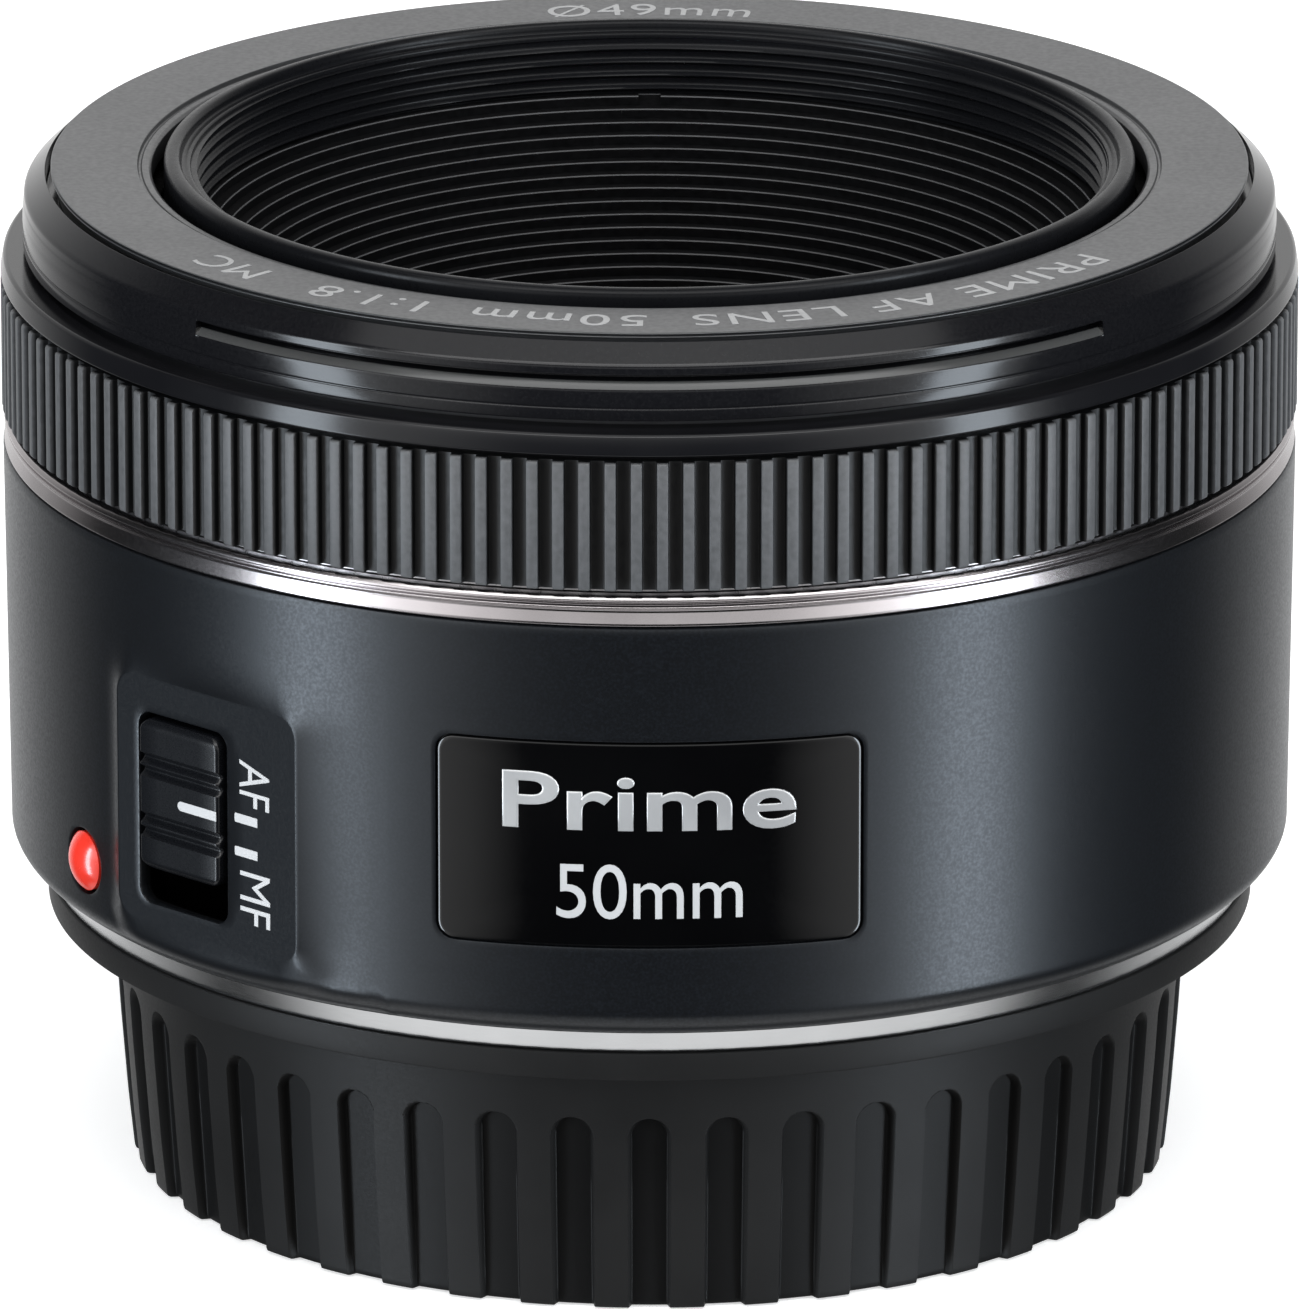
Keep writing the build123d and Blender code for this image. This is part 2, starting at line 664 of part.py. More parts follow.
def aperture_base():
    """Plate that carries the blade pivots."""
    plate = tube(11.2, 18.5, *IRIS_BASE_Z)
    holes = [rod(IRIS_PIN_R + 0.08, 7, 9, polar(BLADE_PIVOT_R, a)) for a in iris_thetas()]
    return plate - holes


def aperture_blade(index):
    """Crescent leaf with a pivot pin behind it and a drive pin in front."""
    low = BLADE_Z + BLADE_PITCH * index
    high = low + BLADE_THICKNESS
    span = tube(BLADE_IN_R, BLADE_OUT_R, low, high, BLADE_SPAN)
    tip = rod((BLADE_OUT_R - BLADE_IN_R) / 2, low, high,
              polar((BLADE_OUT_R + BLADE_IN_R) / 2, BLADE_SPAN))
    ear_faces = [Pos(BLADE_PIVOT_R, y) * Circle(0.95) for y in (0, BLADE_LEVER)]
    ear_faces.append(Pos(13.2, BLADE_LEVER / 2) * Circle(1.0))
    ear = extrude(Plane.XY.offset(low) * make_hull(Sketch(children=ear_faces).edges()), high - low)
    pivot = rod(IRIS_PIN_R, IRIS_BASE_Z[0] + 0.05, low + 0.01, (BLADE_PIVOT_R, 0))
    drive = rod(IRIS_PIN_R, high - 0.01, IRIS_RING_Z[1] - 0.03, (BLADE_PIVOT_R, BLADE_LEVER))
    return Rot(0, 0, iris_thetas()[index]) * (span + tip + ear + pivot + drive)


def aperture_drive_ring():
    """Ring whose slanted slots swing the blades as it turns."""
    path = []
    for step in range(9):
        share = step / 8
        swing = math.radians(BLADE_TURN * share)
        x = BLADE_PIVOT_R - BLADE_LEVER * math.sin(swing)
        y = BLADE_LEVER * math.cos(swing)
        angle = math.degrees(math.atan2(y, x)) - IRIS_TURN * share
        path.append(polar(math.hypot(x, y), angle))
    ring = tube(12.6, 18.3, *IRIS_RING_Z)
    slot = trace(Polyline(*path), 2 * (IRIS_PIN_R + 0.1))
    slot += [Pos(*point) * Circle(IRIS_PIN_R + 0.1) for point in path]
    cut = extrude(Plane.XY.offset(IRIS_RING_Z[0] - 1) * slot, 3)
    return ring - [Rot(0, 0, a) * cut for a in iris_thetas()]


def aperture_motor():
    """Small stepping motor beside the front cell."""
    body = rod(2.6, 20.6, 26.4, polar(20.6, 200))
    return body + rod(0.9, 26.4, 26.9, polar(20.6, 200))


# ---- Focus drive ----

def base_plate():
    """Chassis behind the drive: plate, screw bosses and posts for the circuit board."""
    body = tube(GUIDE_IN_R, 31.5, BASE_Z, BASE_TOP_Z)
    for theta in (45, 135, 225, 315):
        body += rod(1.5, BASE_TOP_Z, 4.2, at_theta(MOUNT_SCREW_R, theta))
        body -= rod(0.9, 0, 5, at_theta(MOUNT_SCREW_R, theta))
    for theta in (20, 165, 255):
        body += rod(1.2, BASE_TOP_Z, 18.15, at_theta(29.4, theta))
    for x, y in gear_centres()[:2]:
        body -= rod(AXLE_R, 0, 3, (x, y))
    return body


def guide_tube():
    """Fixed tube whose straight slots let the followers move only along the axis."""
    body = tube(GUIDE_IN_R, GUIDE_OUT_R, BASE_TOP_Z, GUIDE_TOP_Z)
    slot_r = PIN_R + PIN_CLEARANCE
    slot = Pos(0, -20.6, PIN_START_Z + FOCUS_TRAVEL / 2) * Box(2 * slot_r, 3, FOCUS_TRAVEL)
    for z in (PIN_START_Z, PIN_START_Z + FOCUS_TRAVEL):
        slot += radial_rod(slot_r, 19, 22.1, z)
    return body - around(slot, PIN_THETAS)


def cam_retaining_ring():
    """Clip ring on the guide tube that keeps the cam ring from riding up."""
    return tube(GUIDE_IN_R + 0.02, 22.6, GUIDE_TOP_Z + 0.05, 17.9)


def cam_ring():
    """Turning ring with three helical grooves inside and gear teeth at its foot."""
    body = tube(CAM_IN_R, CAM_OUT_R, CAM_BOTTOM_Z, GUIDE_TOP_Z - 0.1)
    teeth = gear(CAM_TEETH, *LEVEL_A, GEAR_TRAIN_ANGLE) - Cylinder(CAM_OUT_R - 0.1, 30)
    body += teeth
    groove_r = PIN_R + PIN_CLEARANCE
    pitch = FOCUS_TRAVEL * 360 / CAM_TURN
    path = Pos(0, 0, PIN_START_Z) * Rot(0, 0, -90) * Helix(pitch, FOCUS_TRAVEL, 21.8)
    lead = math.degrees(math.atan2(pitch, 2 * math.pi * 21.8))
    width = 2 * groove_r
    section = Plane(origin=path @ 0, z_dir=path % 0, x_dir=(0, -1, 0))
    sweep_tool = sweep(section * Rectangle(2 * (CAM_GROOVE_R - 21.8), width), path, is_frenet=True)
    ends = radial_rod(groove_r, 20.5, CAM_GROOVE_R, PIN_START_Z)
    ends += Rot(0, 0, CAM_TURN) * radial_rod(groove_r, 20.5, CAM_GROOVE_R,
                                             PIN_START_Z + FOCUS_TRAVEL)
    return body - around(sweep_tool, PIN_THETAS) - around(ends, PIN_THETAS)


def gear_centres():
    """Axes of the two reduction gears and the motor, in the order of the drive."""
    second = polar(GEAR_R, GEAR_TRAIN_ANGLE)
    step = 2 * math.degrees(math.asin(GEAR_STEP / (2 * GEAR_R)))
    first = polar(GEAR_R, GEAR_TRAIN_ANGLE + step)
    turn = math.degrees(math.acos(
        (GEAR_R ** 2 + MOTOR_AXIS_R ** 2 - GEAR_STEP ** 2) / (2 * GEAR_R * MOTOR_AXIS_R)))
    motor = polar(MOTOR_AXIS_R, GEAR_TRAIN_ANGLE + step + turn)
    return [second, first, motor]


def bearing_of(start, end):
    return math.degrees(math.atan2(end[1] - start[1], end[0] - start[0]))


def reduction_gear_2():
    """Compound gear whose pinion drives the cam ring."""
    second, first, _ = gear_centres()
    gap = 180 / IDLER_TEETH
    body = gear(IDLER_TEETH, LEVEL_A[0], LEVEL_B[0], GEAR_TRAIN_ANGLE + 180 + gap)
    body += gear(WHEEL_TEETH, *LEVEL_B, bearing_of(second, first))
    return Pos(*second, 0) * (body - Cylinder(AXLE_BORE_R, 30))


def reduction_gear_1():
    """Compound gear between the motor's pinion and the last gear."""
    second, first, motor = gear_centres()
    gap = 180 / PINION_TEETH
    body = gear(PINION_TEETH, LEVEL_B[0], LEVEL_C[0], bearing_of(second, first) + 180 + gap)
    body += gear(WHEEL_TEETH, *LEVEL_C, bearing_of(first, motor))
    return Pos(*first, 0) * (body - Cylinder(AXLE_BORE_R, 30))


def motor_pinion():
    """Pinion on the motor's shaft."""
    _, first, motor = gear_centres()
    gap = 180 / PINION_TEETH
    body = gear(PINION_TEETH, *LEVEL_C, bearing_of(first, motor) + 180 + gap)
    return Pos(*motor, 0) * (body + rod(0.4, LEVEL_C[1], MOTOR_Z[0] + 1.5))


def gear_axles():
    return [rod(AXLE_R, BASE_Z, 6.8, point) for point in gear_centres()[:2]]


def focus_motor():
    """Stepping motor can with its bearing boss, on a bracket that reaches the chassis."""
    motor = gear_centres()[2]
    body = rod(MOTOR_R, *MOTOR_Z, motor) + rod(1.1, 6.9, MOTOR_Z[0], motor)
    body -= rod(0.46, 6, MOTOR_Z[0] + 2, motor)
    return body


def circuit_board():
    """Ring-shaped board with its chips, on the chassis posts."""
    board = tube(26.8, 32.4, 18.2, 19.0)
    for theta, width, depth in ((90, 7, 4), (140, 4, 3), (200, 6, 4), (250, 3, 2.4), (320, 5, 3.4)):
        board += Rot(0, 0, theta) * (Pos(0, -29.6, 19.45) * Box(width, depth, 0.9))
    return board


def pieces():
    """Every node's name and its shape."""
    makers = (
        front_bezel, bezel_screws, name_ring, barrel_felt_ring, front_housing, housing_screws,
        encoder_sensor, focus_ring, focus_grip, encoder_strip, friction_washer, main_barrel,
        mount_index_dot, trim_ring, nameplate, switch_slider, switch_board,
        switch_detent_spring, mount_ring, mount_screws, contact_block, contact_pins,
        contact_block_screws, rear_light_baffle, rear_cap, inner_barrel, cam_followers,
        baffle_cone, front_cell, front_element, element_2, element_3, front_spacer, element_4,
        element_5, rear_element, rear_cell, rear_retainer, aperture_base, aperture_drive_ring,
        aperture_motor, base_plate, guide_tube, cam_retaining_ring, cam_ring, reduction_gear_2,
        reduction_gear_1, motor_pinion, gear_axles, focus_motor, circuit_board,
    )
    for maker in makers:
        yield maker.__name__, maker()
    for index in range(BLADES):
        yield f"aperture_blade_{index + 1}", aperture_blade(index)


def write(name, shape):
    """Writes one node, raised so that the cap's bottom is at z = 0."""
    solids = ShapeList(shape).solids() if isinstance(shape, list) else shape.solids()
    node = Compound(children=[Pos(0, 0, CAP_HEIGHT) * solid for solid in solids])
    export_step(node, f"parts/{name}.step")


os.makedirs("parts", exist_ok=True)
for piece_name, piece_shape in pieces():
    write(piece_name, piece_shape)
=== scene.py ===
import json
import math

import bmesh
import bpy
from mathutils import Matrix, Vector


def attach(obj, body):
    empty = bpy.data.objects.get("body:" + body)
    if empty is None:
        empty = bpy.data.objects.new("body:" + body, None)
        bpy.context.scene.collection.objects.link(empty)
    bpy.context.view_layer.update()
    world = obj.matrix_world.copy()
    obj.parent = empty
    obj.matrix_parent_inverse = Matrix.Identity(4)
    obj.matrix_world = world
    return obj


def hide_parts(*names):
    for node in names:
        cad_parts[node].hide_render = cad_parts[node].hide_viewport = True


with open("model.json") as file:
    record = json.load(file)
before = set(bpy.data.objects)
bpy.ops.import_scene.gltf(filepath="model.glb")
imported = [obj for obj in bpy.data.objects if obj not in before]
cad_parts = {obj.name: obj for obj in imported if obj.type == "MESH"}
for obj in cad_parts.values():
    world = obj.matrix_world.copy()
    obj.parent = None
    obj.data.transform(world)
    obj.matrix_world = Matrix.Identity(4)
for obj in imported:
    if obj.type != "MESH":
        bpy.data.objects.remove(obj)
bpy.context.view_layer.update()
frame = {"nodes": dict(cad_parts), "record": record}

# Autofocus prime lens with its rear cap on. Sizes are in mm above the mount's flange plane, and
# angles (theta) are in degrees from the nameplate side (-Y) towards +X. place() turns both into
# metres in the row frame. A material reads the row frame's metres.

MM = 0.001
SEGMENTS = 480               # columns of a plain turned piece
RECORD = frame["record"]
FLANGE = next(m for m in RECORD["mounts"] if m["name"] == "camera_bayonet")["pos_m"][2]
BODY_OF = {n: b for b, members in RECORD["behaviour"]["bodies"].items() for n in members}
SLOT_OF = {s["node"]: s["material_slot"] for s in RECORD["subparts"]}

# Main barrel
BARREL_LOW_R = 34.32
BARREL_LOW_Z = 2.9
BARREL_TOP_R = 34.55
BARREL_TOP_Z = 23.9
FOOT_Z = 1.26
FOOT_DROP = 1.4
COLUMN = 0.25                # degrees between two columns of the barrel's skin
ROW = 0.35

# Nameplate window
PLATE_HALF = 18.7            # degrees
PLATE_LOW_Z = 6.5
PLATE_HIGH_Z = 17.6
PLATE_R = 34.42
PLATE_BACK_R = 34.12
PLATE_CORNER = 0.9
PLATE_MARGIN = 0.1

# Switch pad
PAD_THETA = -42.8
PAD_D = 34.16                # distance of the flat from the lens axis
PAD_LOW_Z = 3.75
PAD_HIGH_Z = 17.25
PAD_HALF = 6.5
PAD_CORNER = 1.2
FADE_LEFT = 1.7              # widths of the runs from the pad's edge to the plain skin
FADE_RIGHT = 4.2
FADE_UP = 3.2
FADE_DOWN = 2.3
SLOT_X = -1.72
SLOT_HALF = 3.17
SLOT_LOW_Z = 4.8
SLOT_HIGH_Z = 15.3
SLOT_CORNER = 0.8
SLOT_DEPTH = 2.0
SLIDER_HALF = 2.875
SLIDER_LOW_Z = 6.8
SLIDER_TOP_Z = 15.05
SLIDER_PROUD = 0.35
GROOVE_ZS = (12.9, 12.2, 9.6, 8.85)
RECESS_SHADE_R = (33.7, 34.1)      # painted shade: the paint turns black inward between these radii, above these heights
RECESS_SHADE_Z = (2.9, 3.2)

# Index dome
DOT_THETA = -60.6
DOT_Z = 5.3
DOT_R = 1.6
DOT_RISE = 0.7

# Focus grip and rear cap
RIDGES = 160
GRIP_R = 34.6
GRIP_VALLEY_R = 34.1
GRIP_LOW_Z = 25.9
GRIP_TOP_Z = 32.84
CAP_GROOVES = 44
CAP_GROOVE_HALF = 1.095
CAP_GROOVE_TOP_Z = -5.0
CAP_BOTTOM_Z = -15.9
CAP_FLOOR_R = 27.8           # radius of the grooves' floors at one height, and how it grows
CAP_FLOOR_Z = -10.45
CAP_FLOOR_SLOPE = 0.0642

# Filter thread and front baffle
THREAD_R = 24.09
THREAD_LOW_Z = 35.7
THREAD_TOP_Z = 38.75
THREAD_PITCH = 0.75
THREAD_START_Z = 38.55
THREAD_DEPTH = 0.28
RIBS = 19
RIB_R = 23.87
RIB_STEP_R = 0.52
RIB_Z = 35.58
RIB_STEP_Z = 0.59
NOTCH_HALF = 1.45            # degrees
NOTCH_R = 24.3

# Front bezel and name ring
HOOD_SLOT_HALF = 44.95       # degrees, on each side of the hood slot's middle
LEDGE_Z = (36.42, 36.8)      # the ledge inside a hood slot, coloured grey as a painted highlight, lies between these heights
LEDGE_R = 33.34
FACE_LOW_R = 27.26
FACE_HIGH_R = 31.82
FACE_LOW_Z = 39.0
FACE_HIGH_Z = 39.05

# Camera
TARGET = Vector((0.0, 0.0, 0.02717))
DISTANCE = 0.9319
ELEVATION = 18.059
LENS = 477.0

# Room: the strength of each glow. A ray's direction has parts X, Y and Z from -1 to 1, and each
# range gives the two values of one part between which a glow rises or dies away.
BACK_GLOW = 1.3
BACK_Y = (0.4, 0.95)
FRONT_GLOW = 1.2
FRONT_Y = (-0.26, -0.4)
FRONT_LOW_Z = (0.06, 0.13)
FRONT_HIGH_Z = (0.42, 0.55)
UNDER_GLOW = 1.0
UNDER_Z = (-0.79, -0.87)
SIDE_GLOW = 2.2
SIDE_X = (0.36, 0.84)
BOX_TINT = (0.8, 0.9, 1.0)


# ---- Outlines ----

def place(radius, theta, z):
    """Row-frame point at a radius, an angle and a height above the flange."""
    turn = math.radians(theta)
    return Vector((radius * MM * math.sin(turn), -radius * MM * math.cos(turn), FLANGE + z * MM))


def ramp(value, low, high):
    """0 below low, 1 above high and a smooth rise between."""
    t = min(max((value - low) / (high - low), 0.0), 1.0)
    return t * t * (3 - 2 * t)


def between(a, b, share):
    """The value at a share of the way from a to b."""
    return a + (b - a) * share


def softened(outline, radius, steps=4):
    """The closed outline with a small curve at each corner."""
    points = []
    corners = [Vector(p) for p in outline]
    for i, corner in enumerate(corners):
        back = corners[i - 1] - corner
        ahead = corners[(i + 1) % len(corners)] - corner
        a = corner + back.normalized() * min(radius, 0.45 * back.length)
        b = corner + ahead.normalized() * min(radius, 0.45 * ahead.length)
        for k in range(steps + 1):
            t = k / steps
            points.append((1 - t) ** 2 * a + 2 * t * (1 - t) * corner + t * t * b)
    return [tuple(p) for p in points]


def rounded_distance(x, z, half_x, half_z, corner):
    """How far a point lies outside a rounded rectangle; negative inside."""
    qx = abs(x) - half_x + corner
    qz = abs(z) - half_z + corner
    return math.hypot(max(qx, 0), max(qz, 0)) + min(max(qx, qz), 0) - corner


def rounded_ring(directions, half_x, half_z, corner):
    """Points of a rounded rectangle's edge, one in each direction from its middle."""
    ring = []
    for dx, dz in directions:
        length = math.hypot(dx, dz)
        near, far = 0.0, half_x + half_z
        for _ in range(36):
            middle = (near + far) / 2
            x, z = dx / length * middle, dz / length * middle
            if rounded_distance(x, z, half_x, half_z, corner) < 0:
                near = middle
            else:
                far = middle
        ring.append((dx / length * near, dz / length * near))
    return ring


# ---- Mesh data: (points, faces) ----

def swept(outlines, thetas):
    """Closed outlines of (r, z), one at each angle, joined all the way round the axis."""
    count = len(outlines[0])
    points = [place(r, t, z) for outline, t in zip(outlines, thetas) for r, z in outline]
    faces = []
    for k in range(len(thetas)):
        here = k * count
        there = (k + 1) % len(thetas) * count
        for i in range(count):
            j = (i + 1) % count
            faces.append((here + i, here + j, there + j, there + i))
    return points, faces


def all_round():
    """The angles of a plain turned piece's columns."""
    return [360 * k / SEGMENTS for k in range(SEGMENTS)]


def turned(outline):
    """One closed outline turned round the axis."""
    return swept([outline] * SEGMENTS, all_round())


def ringed(rings, close_first=True, close_last=True):
    """Rings of equal length joined one to the next, with a face across each end."""
    count = len(rings[0])
    points = [p for ring in rings for p in ring]
    faces = ring_faces([[k * count + i for i in range(count)] for k in range(len(rings))])
    if close_first:
        faces.append(tuple(range(count)))
    if close_last:
        faces.append(tuple(range(len(points) - count, len(points))))
    return points, faces


def ring_faces(rings):
    """Faces between rings of point numbers."""
    faces = []
    for inner, outer in zip(rings, rings[1:]):
        for i in range(len(inner)):
            j = (i + 1) % len(inner)
            faces.append((inner[i], inner[j], outer[j], outer[i]))
    return faces


def joined(*parts):
    """One set of mesh data from several."""
    points, faces = [], []
    for more_points, more_faces in parts:
        start = len(points)
        points += more_points
        faces += [tuple(start + i for i in face) for face in more_faces]
    return points, faces


# ---- Pieces ----

def piece(name, data, material, nodes=(), body=None, slot=None, sharp=38.0, weighted=True):
    """Adds a mesh to the scene, on its body, standing for its CAD nodes."""
    points, faces = data
    mesh = bpy.data.meshes.new(name)
    mesh.from_pydata(points, [], faces)
    shape = bmesh.new()
    shape.from_mesh(mesh)
    bmesh.ops.remove_doubles(shape, verts=shape.verts, dist=1e-7)
    bmesh.ops.recalc_face_normals(shape, faces=shape.faces)
    shape.to_mesh(mesh)
    shape.free()
    mesh.shade_smooth()
    mesh.set_sharp_from_angle(angle=math.radians(sharp))
    mesh.materials.append(material)
    made = bpy.data.objects.new(name, mesh)
    bpy.context.scene.collection.objects.link(made)
    if weighted:
        normals = made.modifiers.new("normals", "WEIGHTED_NORMAL")
        normals.keep_sharp = True
    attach(made, body or BODY_OF[nodes[0]])
    if nodes:
        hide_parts(*nodes)
    slot or SLOT_OF[nodes[0]]
    return made


def lettering(name, words, height, width, at, material, body, slot, thick=0.02, bold=0.0,
              spacing=1.0):
    """Flat words of a given height and width in mm, bent onto a surface by at(x, y, lift)."""
    curve = bpy.data.curves.new(name, "FONT")
    curve.body = words
    curve.space_character = spacing
    curve.resolution_u = 6
    curve.extrude = 0.01
    curve.bevel_depth = bold
    curve.bevel_resolution = 2
    flat = bpy.data.objects.new(name + "_flat", curve)
    bpy.context.scene.collection.objects.link(flat)
    mesh = bpy.data.meshes.new_from_object(flat.evaluated_get(
        bpy.context.evaluated_depsgraph_get()))
    bpy.data.objects.remove(flat)
    bpy.data.curves.remove(curve)
    xs = [v.co.x for v in mesh.vertices]
    ys = [v.co.y for v in mesh.vertices]
    middle = Vector(((min(xs) + max(xs)) / 2, (min(ys) + max(ys)) / 2))
    scale_x = width / (max(xs) - min(xs))
    scale_y = height / (max(ys) - min(ys))
    scale_z = thick / max(v.co.z for v in mesh.vertices)
    for v in mesh.vertices:
        v.co = ((v.co.x - middle.x) * scale_x, (v.co.y - middle.y) * scale_y, v.co.z * scale_z)
    shape = bmesh.new()
    shape.from_mesh(mesh)
    cuts = int(width / 0.5)
    for k in range(1, cuts):
        bmesh.ops.bisect_plane(
            shape, geom=shape.verts[:] + shape.edges[:] + shape.faces[:],
            plane_co=(width * (k / cuts - 0.5), 0, 0), plane_no=(1, 0, 0))
    for v in shape.verts:
        v.co = at(v.co.x, v.co.y, v.co.z)
    bmesh.ops.recalc_face_normals(shape, faces=shape.faces)
    shape.to_mesh(mesh)
    shape.free()
    mesh.materials.clear()
    mesh.materials.append(material)
    made = bpy.data.objects.new(name, mesh)
    bpy.context.scene.collection.objects.link(made)
    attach(made, body)
    return made


# ---- Materials ----

def principled(name):
    """A new material, with its node tree and its Principled shader."""
    material = bpy.data.materials.new(name)
    material.use_nodes = True
    return material, material.node_tree, material.node_tree.nodes["Principled BSDF"]


def noise(tree, scale, detail=3.0, stretch=(1, 1, 1)):
    """Noise over the row frame's metres; scale is in features per metre."""
    coordinate = tree.nodes.new("ShaderNodeTexCoord")
    mapping = tree.nodes.new("ShaderNodeMapping")
    mapping.inputs["Scale"].default_value = stretch
    texture = tree.nodes.new("ShaderNodeTexNoise")
    texture.inputs["Scale"].default_value = scale
    texture.inputs["Detail"].default_value = detail
    tree.links.new(coordinate.outputs["Object"], mapping.inputs["Vector"])
    tree.links.new(mapping.outputs["Vector"], texture.inputs["Vector"])
    return texture.outputs["Fac"]


def spread(tree, value, low, high, start=0.3, end=0.7):
    """The value mapped onto low to high."""
    node = tree.nodes.new("ShaderNodeMapRange")
    node.inputs["From Min"].default_value = start
    node.inputs["From Max"].default_value = end
    node.inputs["To Min"].default_value = low
    node.inputs["To Max"].default_value = high
    tree.links.new(value, node.inputs["Value"])
    return node.outputs["Result"]


def mixed(tree, share, a, b):
    """A colour between a and b, each a socket or a colour, by the share socket."""
    node = tree.nodes.new("ShaderNodeMix")
    node.data_type = "RGBA"
    tree.links.new(share, node.inputs["Factor"])
    for value, socket in ((a, node.inputs[6]), (b, node.inputs[7])):
        if isinstance(value, bpy.types.NodeSocket):
            tree.links.new(value, socket)
        else:
            socket.default_value = (*value, 1.0)
    return node.outputs[2]


def bumped(tree, shader, height, strength, distance):
    """A bump of a height socket on the shader; distance is in metres."""
    node = tree.nodes.new("ShaderNodeBump")
    node.inputs["Strength"].default_value = strength
    node.inputs["Distance"].default_value = distance
    tree.links.new(height, node.inputs["Height"])
    tree.links.new(node.outputs["Normal"], shader.inputs["Normal"])


def radius_of(tree):
    """Distance from the lens axis, in metres."""
    coordinate = tree.nodes.new("ShaderNodeTexCoord")
    flat = tree.nodes.new("ShaderNodeVectorMath")
    flat.operation = "MULTIPLY"
    flat.inputs[1].default_value = (1, 1, 0)
    length = tree.nodes.new("ShaderNodeVectorMath")
    length.operation = "LENGTH"
    tree.links.new(coordinate.outputs["Object"], flat.inputs[0])
    tree.links.new(flat.outputs["Vector"], length.inputs[0])
    return length.outputs["Value"]


def height_of(tree):
    """Height in the row frame, in metres."""
    coordinate = tree.nodes.new("ShaderNodeTexCoord")
    axes = tree.nodes.new("ShaderNodeSeparateXYZ")
    tree.links.new(coordinate.outputs["Object"], axes.inputs["Vector"])
    return axes.outputs["Z"]


def computed(tree, operation, *values):
    """A Math node's result; each value is a socket or a number."""
    node = tree.nodes.new("ShaderNodeMath")
    node.operation = operation
    for value, socket in zip(values, node.inputs):
        if isinstance(value, bpy.types.NodeSocket):
            tree.links.new(value, socket)
        else:
            socket.default_value = value
    return node.outputs[0]


def plastic(name, dark, light, roughness, specular=0.5, grain=3500, bump=0.3, depth=2e-5,
            coat=0.0, metallic=0.0):
    """Moulded or painted plastic: two-scale colour drift, uneven gloss and a fine grain."""
    material, tree, shader = principled(name)
    broad = noise(tree, 120, 4)
    fine = noise(tree, grain, 3)
    colour = mixed(tree, spread(tree, broad, 0, 1), dark, light)
    tree.links.new(colour, shader.inputs["Base Color"])
    tree.links.new(spread(tree, fine, roughness[0], roughness[1]), shader.inputs["Roughness"])
    shader.inputs["Specular IOR Level"].default_value = specular
    shader.inputs["Coat Weight"].default_value = coat
    shader.inputs["Coat Roughness"].default_value = 0.08
    shader.inputs["Metallic"].default_value = metallic
    bumped(tree, shader, fine, bump, depth)
    return material


def metal(name, dark, light, roughness, grain=2500, stretch=(1, 1, 1), bump=0.15, depth=1e-5):
    """Machined or plated metal with fine tool marks."""
    material, tree, shader = principled(name)
    marks = noise(tree, grain, 2, stretch)
    broad = noise(tree, 150, 3)
    colour = mixed(tree, spread(tree, broad, 0, 1), dark, light)
    tree.links.new(colour, shader.inputs["Base Color"])
    tree.links.new(spread(tree, marks, roughness[0], roughness[1]), shader.inputs["Roughness"])
    shader.inputs["Metallic"].default_value = 1.0
    bumped(tree, shader, marks, bump, depth)
    return material


def within(tree, value, low, high, edge):
    """1 where the value lies between low and high, with a short run at each end."""
    rise = spread(tree, value, 0, 1, low - edge, low)
    fall = spread(tree, value, 1, 0, high, high + edge)
    return computed(tree, "MULTIPLY", rise, fall)


def barrel_paint():
    """Satin metallic paint: a faint speckle in a blue-black base, and painted shade, black, in the
    recesses.
    """
    material, tree, shader = principled("barrel_satin")
    flake = noise(tree, 6500, 2)
    cloud = noise(tree, 1500, 3)
    base = mixed(tree, spread(tree, cloud, 0, 1),
                 (0.0025, 0.0028, 0.0036), (0.0034, 0.0038, 0.0048))
    skin = mixed(tree, spread(tree, flake, 0, 1, 0.4, 0.7), base, (0.0095, 0.0108, 0.013))
    # Painted shade: the recesses inward of the skin turn black, duller and fully metallic.
    inward = spread(tree, radius_of(tree), 1, 0, RECESS_SHADE_R[0] * MM, RECESS_SHADE_R[1] * MM)
    above = spread(tree, height_of(tree), 0, 1, FLANGE + RECESS_SHADE_Z[0] * MM,
                   FLANGE + RECESS_SHADE_Z[1] * MM)
    painted_shade = computed(tree, "MULTIPLY", inward, above)
    colour = mixed(tree, painted_shade, skin, (0.0006, 0.0005, 0.0005))
    tree.links.new(colour, shader.inputs["Base Color"])
    gloss = spread(tree, flake, 0.37, 0.28, 0.35, 0.65)
    tree.links.new(computed(tree, "MAXIMUM", gloss, painted_shade), shader.inputs["Roughness"])
    tree.links.new(spread(tree, painted_shade, 0.2, 1, 0, 1), shader.inputs["Metallic"])
    shader.inputs["Specular IOR Level"].default_value = 0.45
    shader.inputs["Specular Tint"].default_value = (0.92, 0.96, 1.0, 1)
    bumped(tree, shader, flake, 0.14, 7e-6)
    return material


def bezel_gloss():
    """Gloss black, with a painted highlight, a paler grey, on the ledge inside the hood slots."""
    material, tree, shader = principled("bezel_gloss")
    fine = noise(tree, 6000, 3)
    black = mixed(tree, spread(tree, fine, 0, 1), (0.005, 0.005, 0.006), (0.008, 0.008, 0.009))
    # Painted highlight: the ledge inside each hood slot is coloured grey.
    height = within(tree, height_of(tree), FLANGE + LEDGE_Z[0] * MM, FLANGE + LEDGE_Z[1] * MM,
                    0.02 * MM)
    inward = spread(tree, radius_of(tree), 1, 0, LEDGE_R * MM, (LEDGE_R + 0.01) * MM)
    painted_ledge_highlight = computed(tree, "MULTIPLY", height, inward)
    tree.links.new(mixed(tree, painted_ledge_highlight, black, (0.05, 0.05, 0.049)), shader.inputs["Base Color"])
    tree.links.new(spread(tree, fine, 0.13, 0.16), shader.inputs["Roughness"])
    shader.inputs["Specular IOR Level"].default_value = 0.28
    bumped(tree, shader, fine, 0.03, 2e-6)
    return material


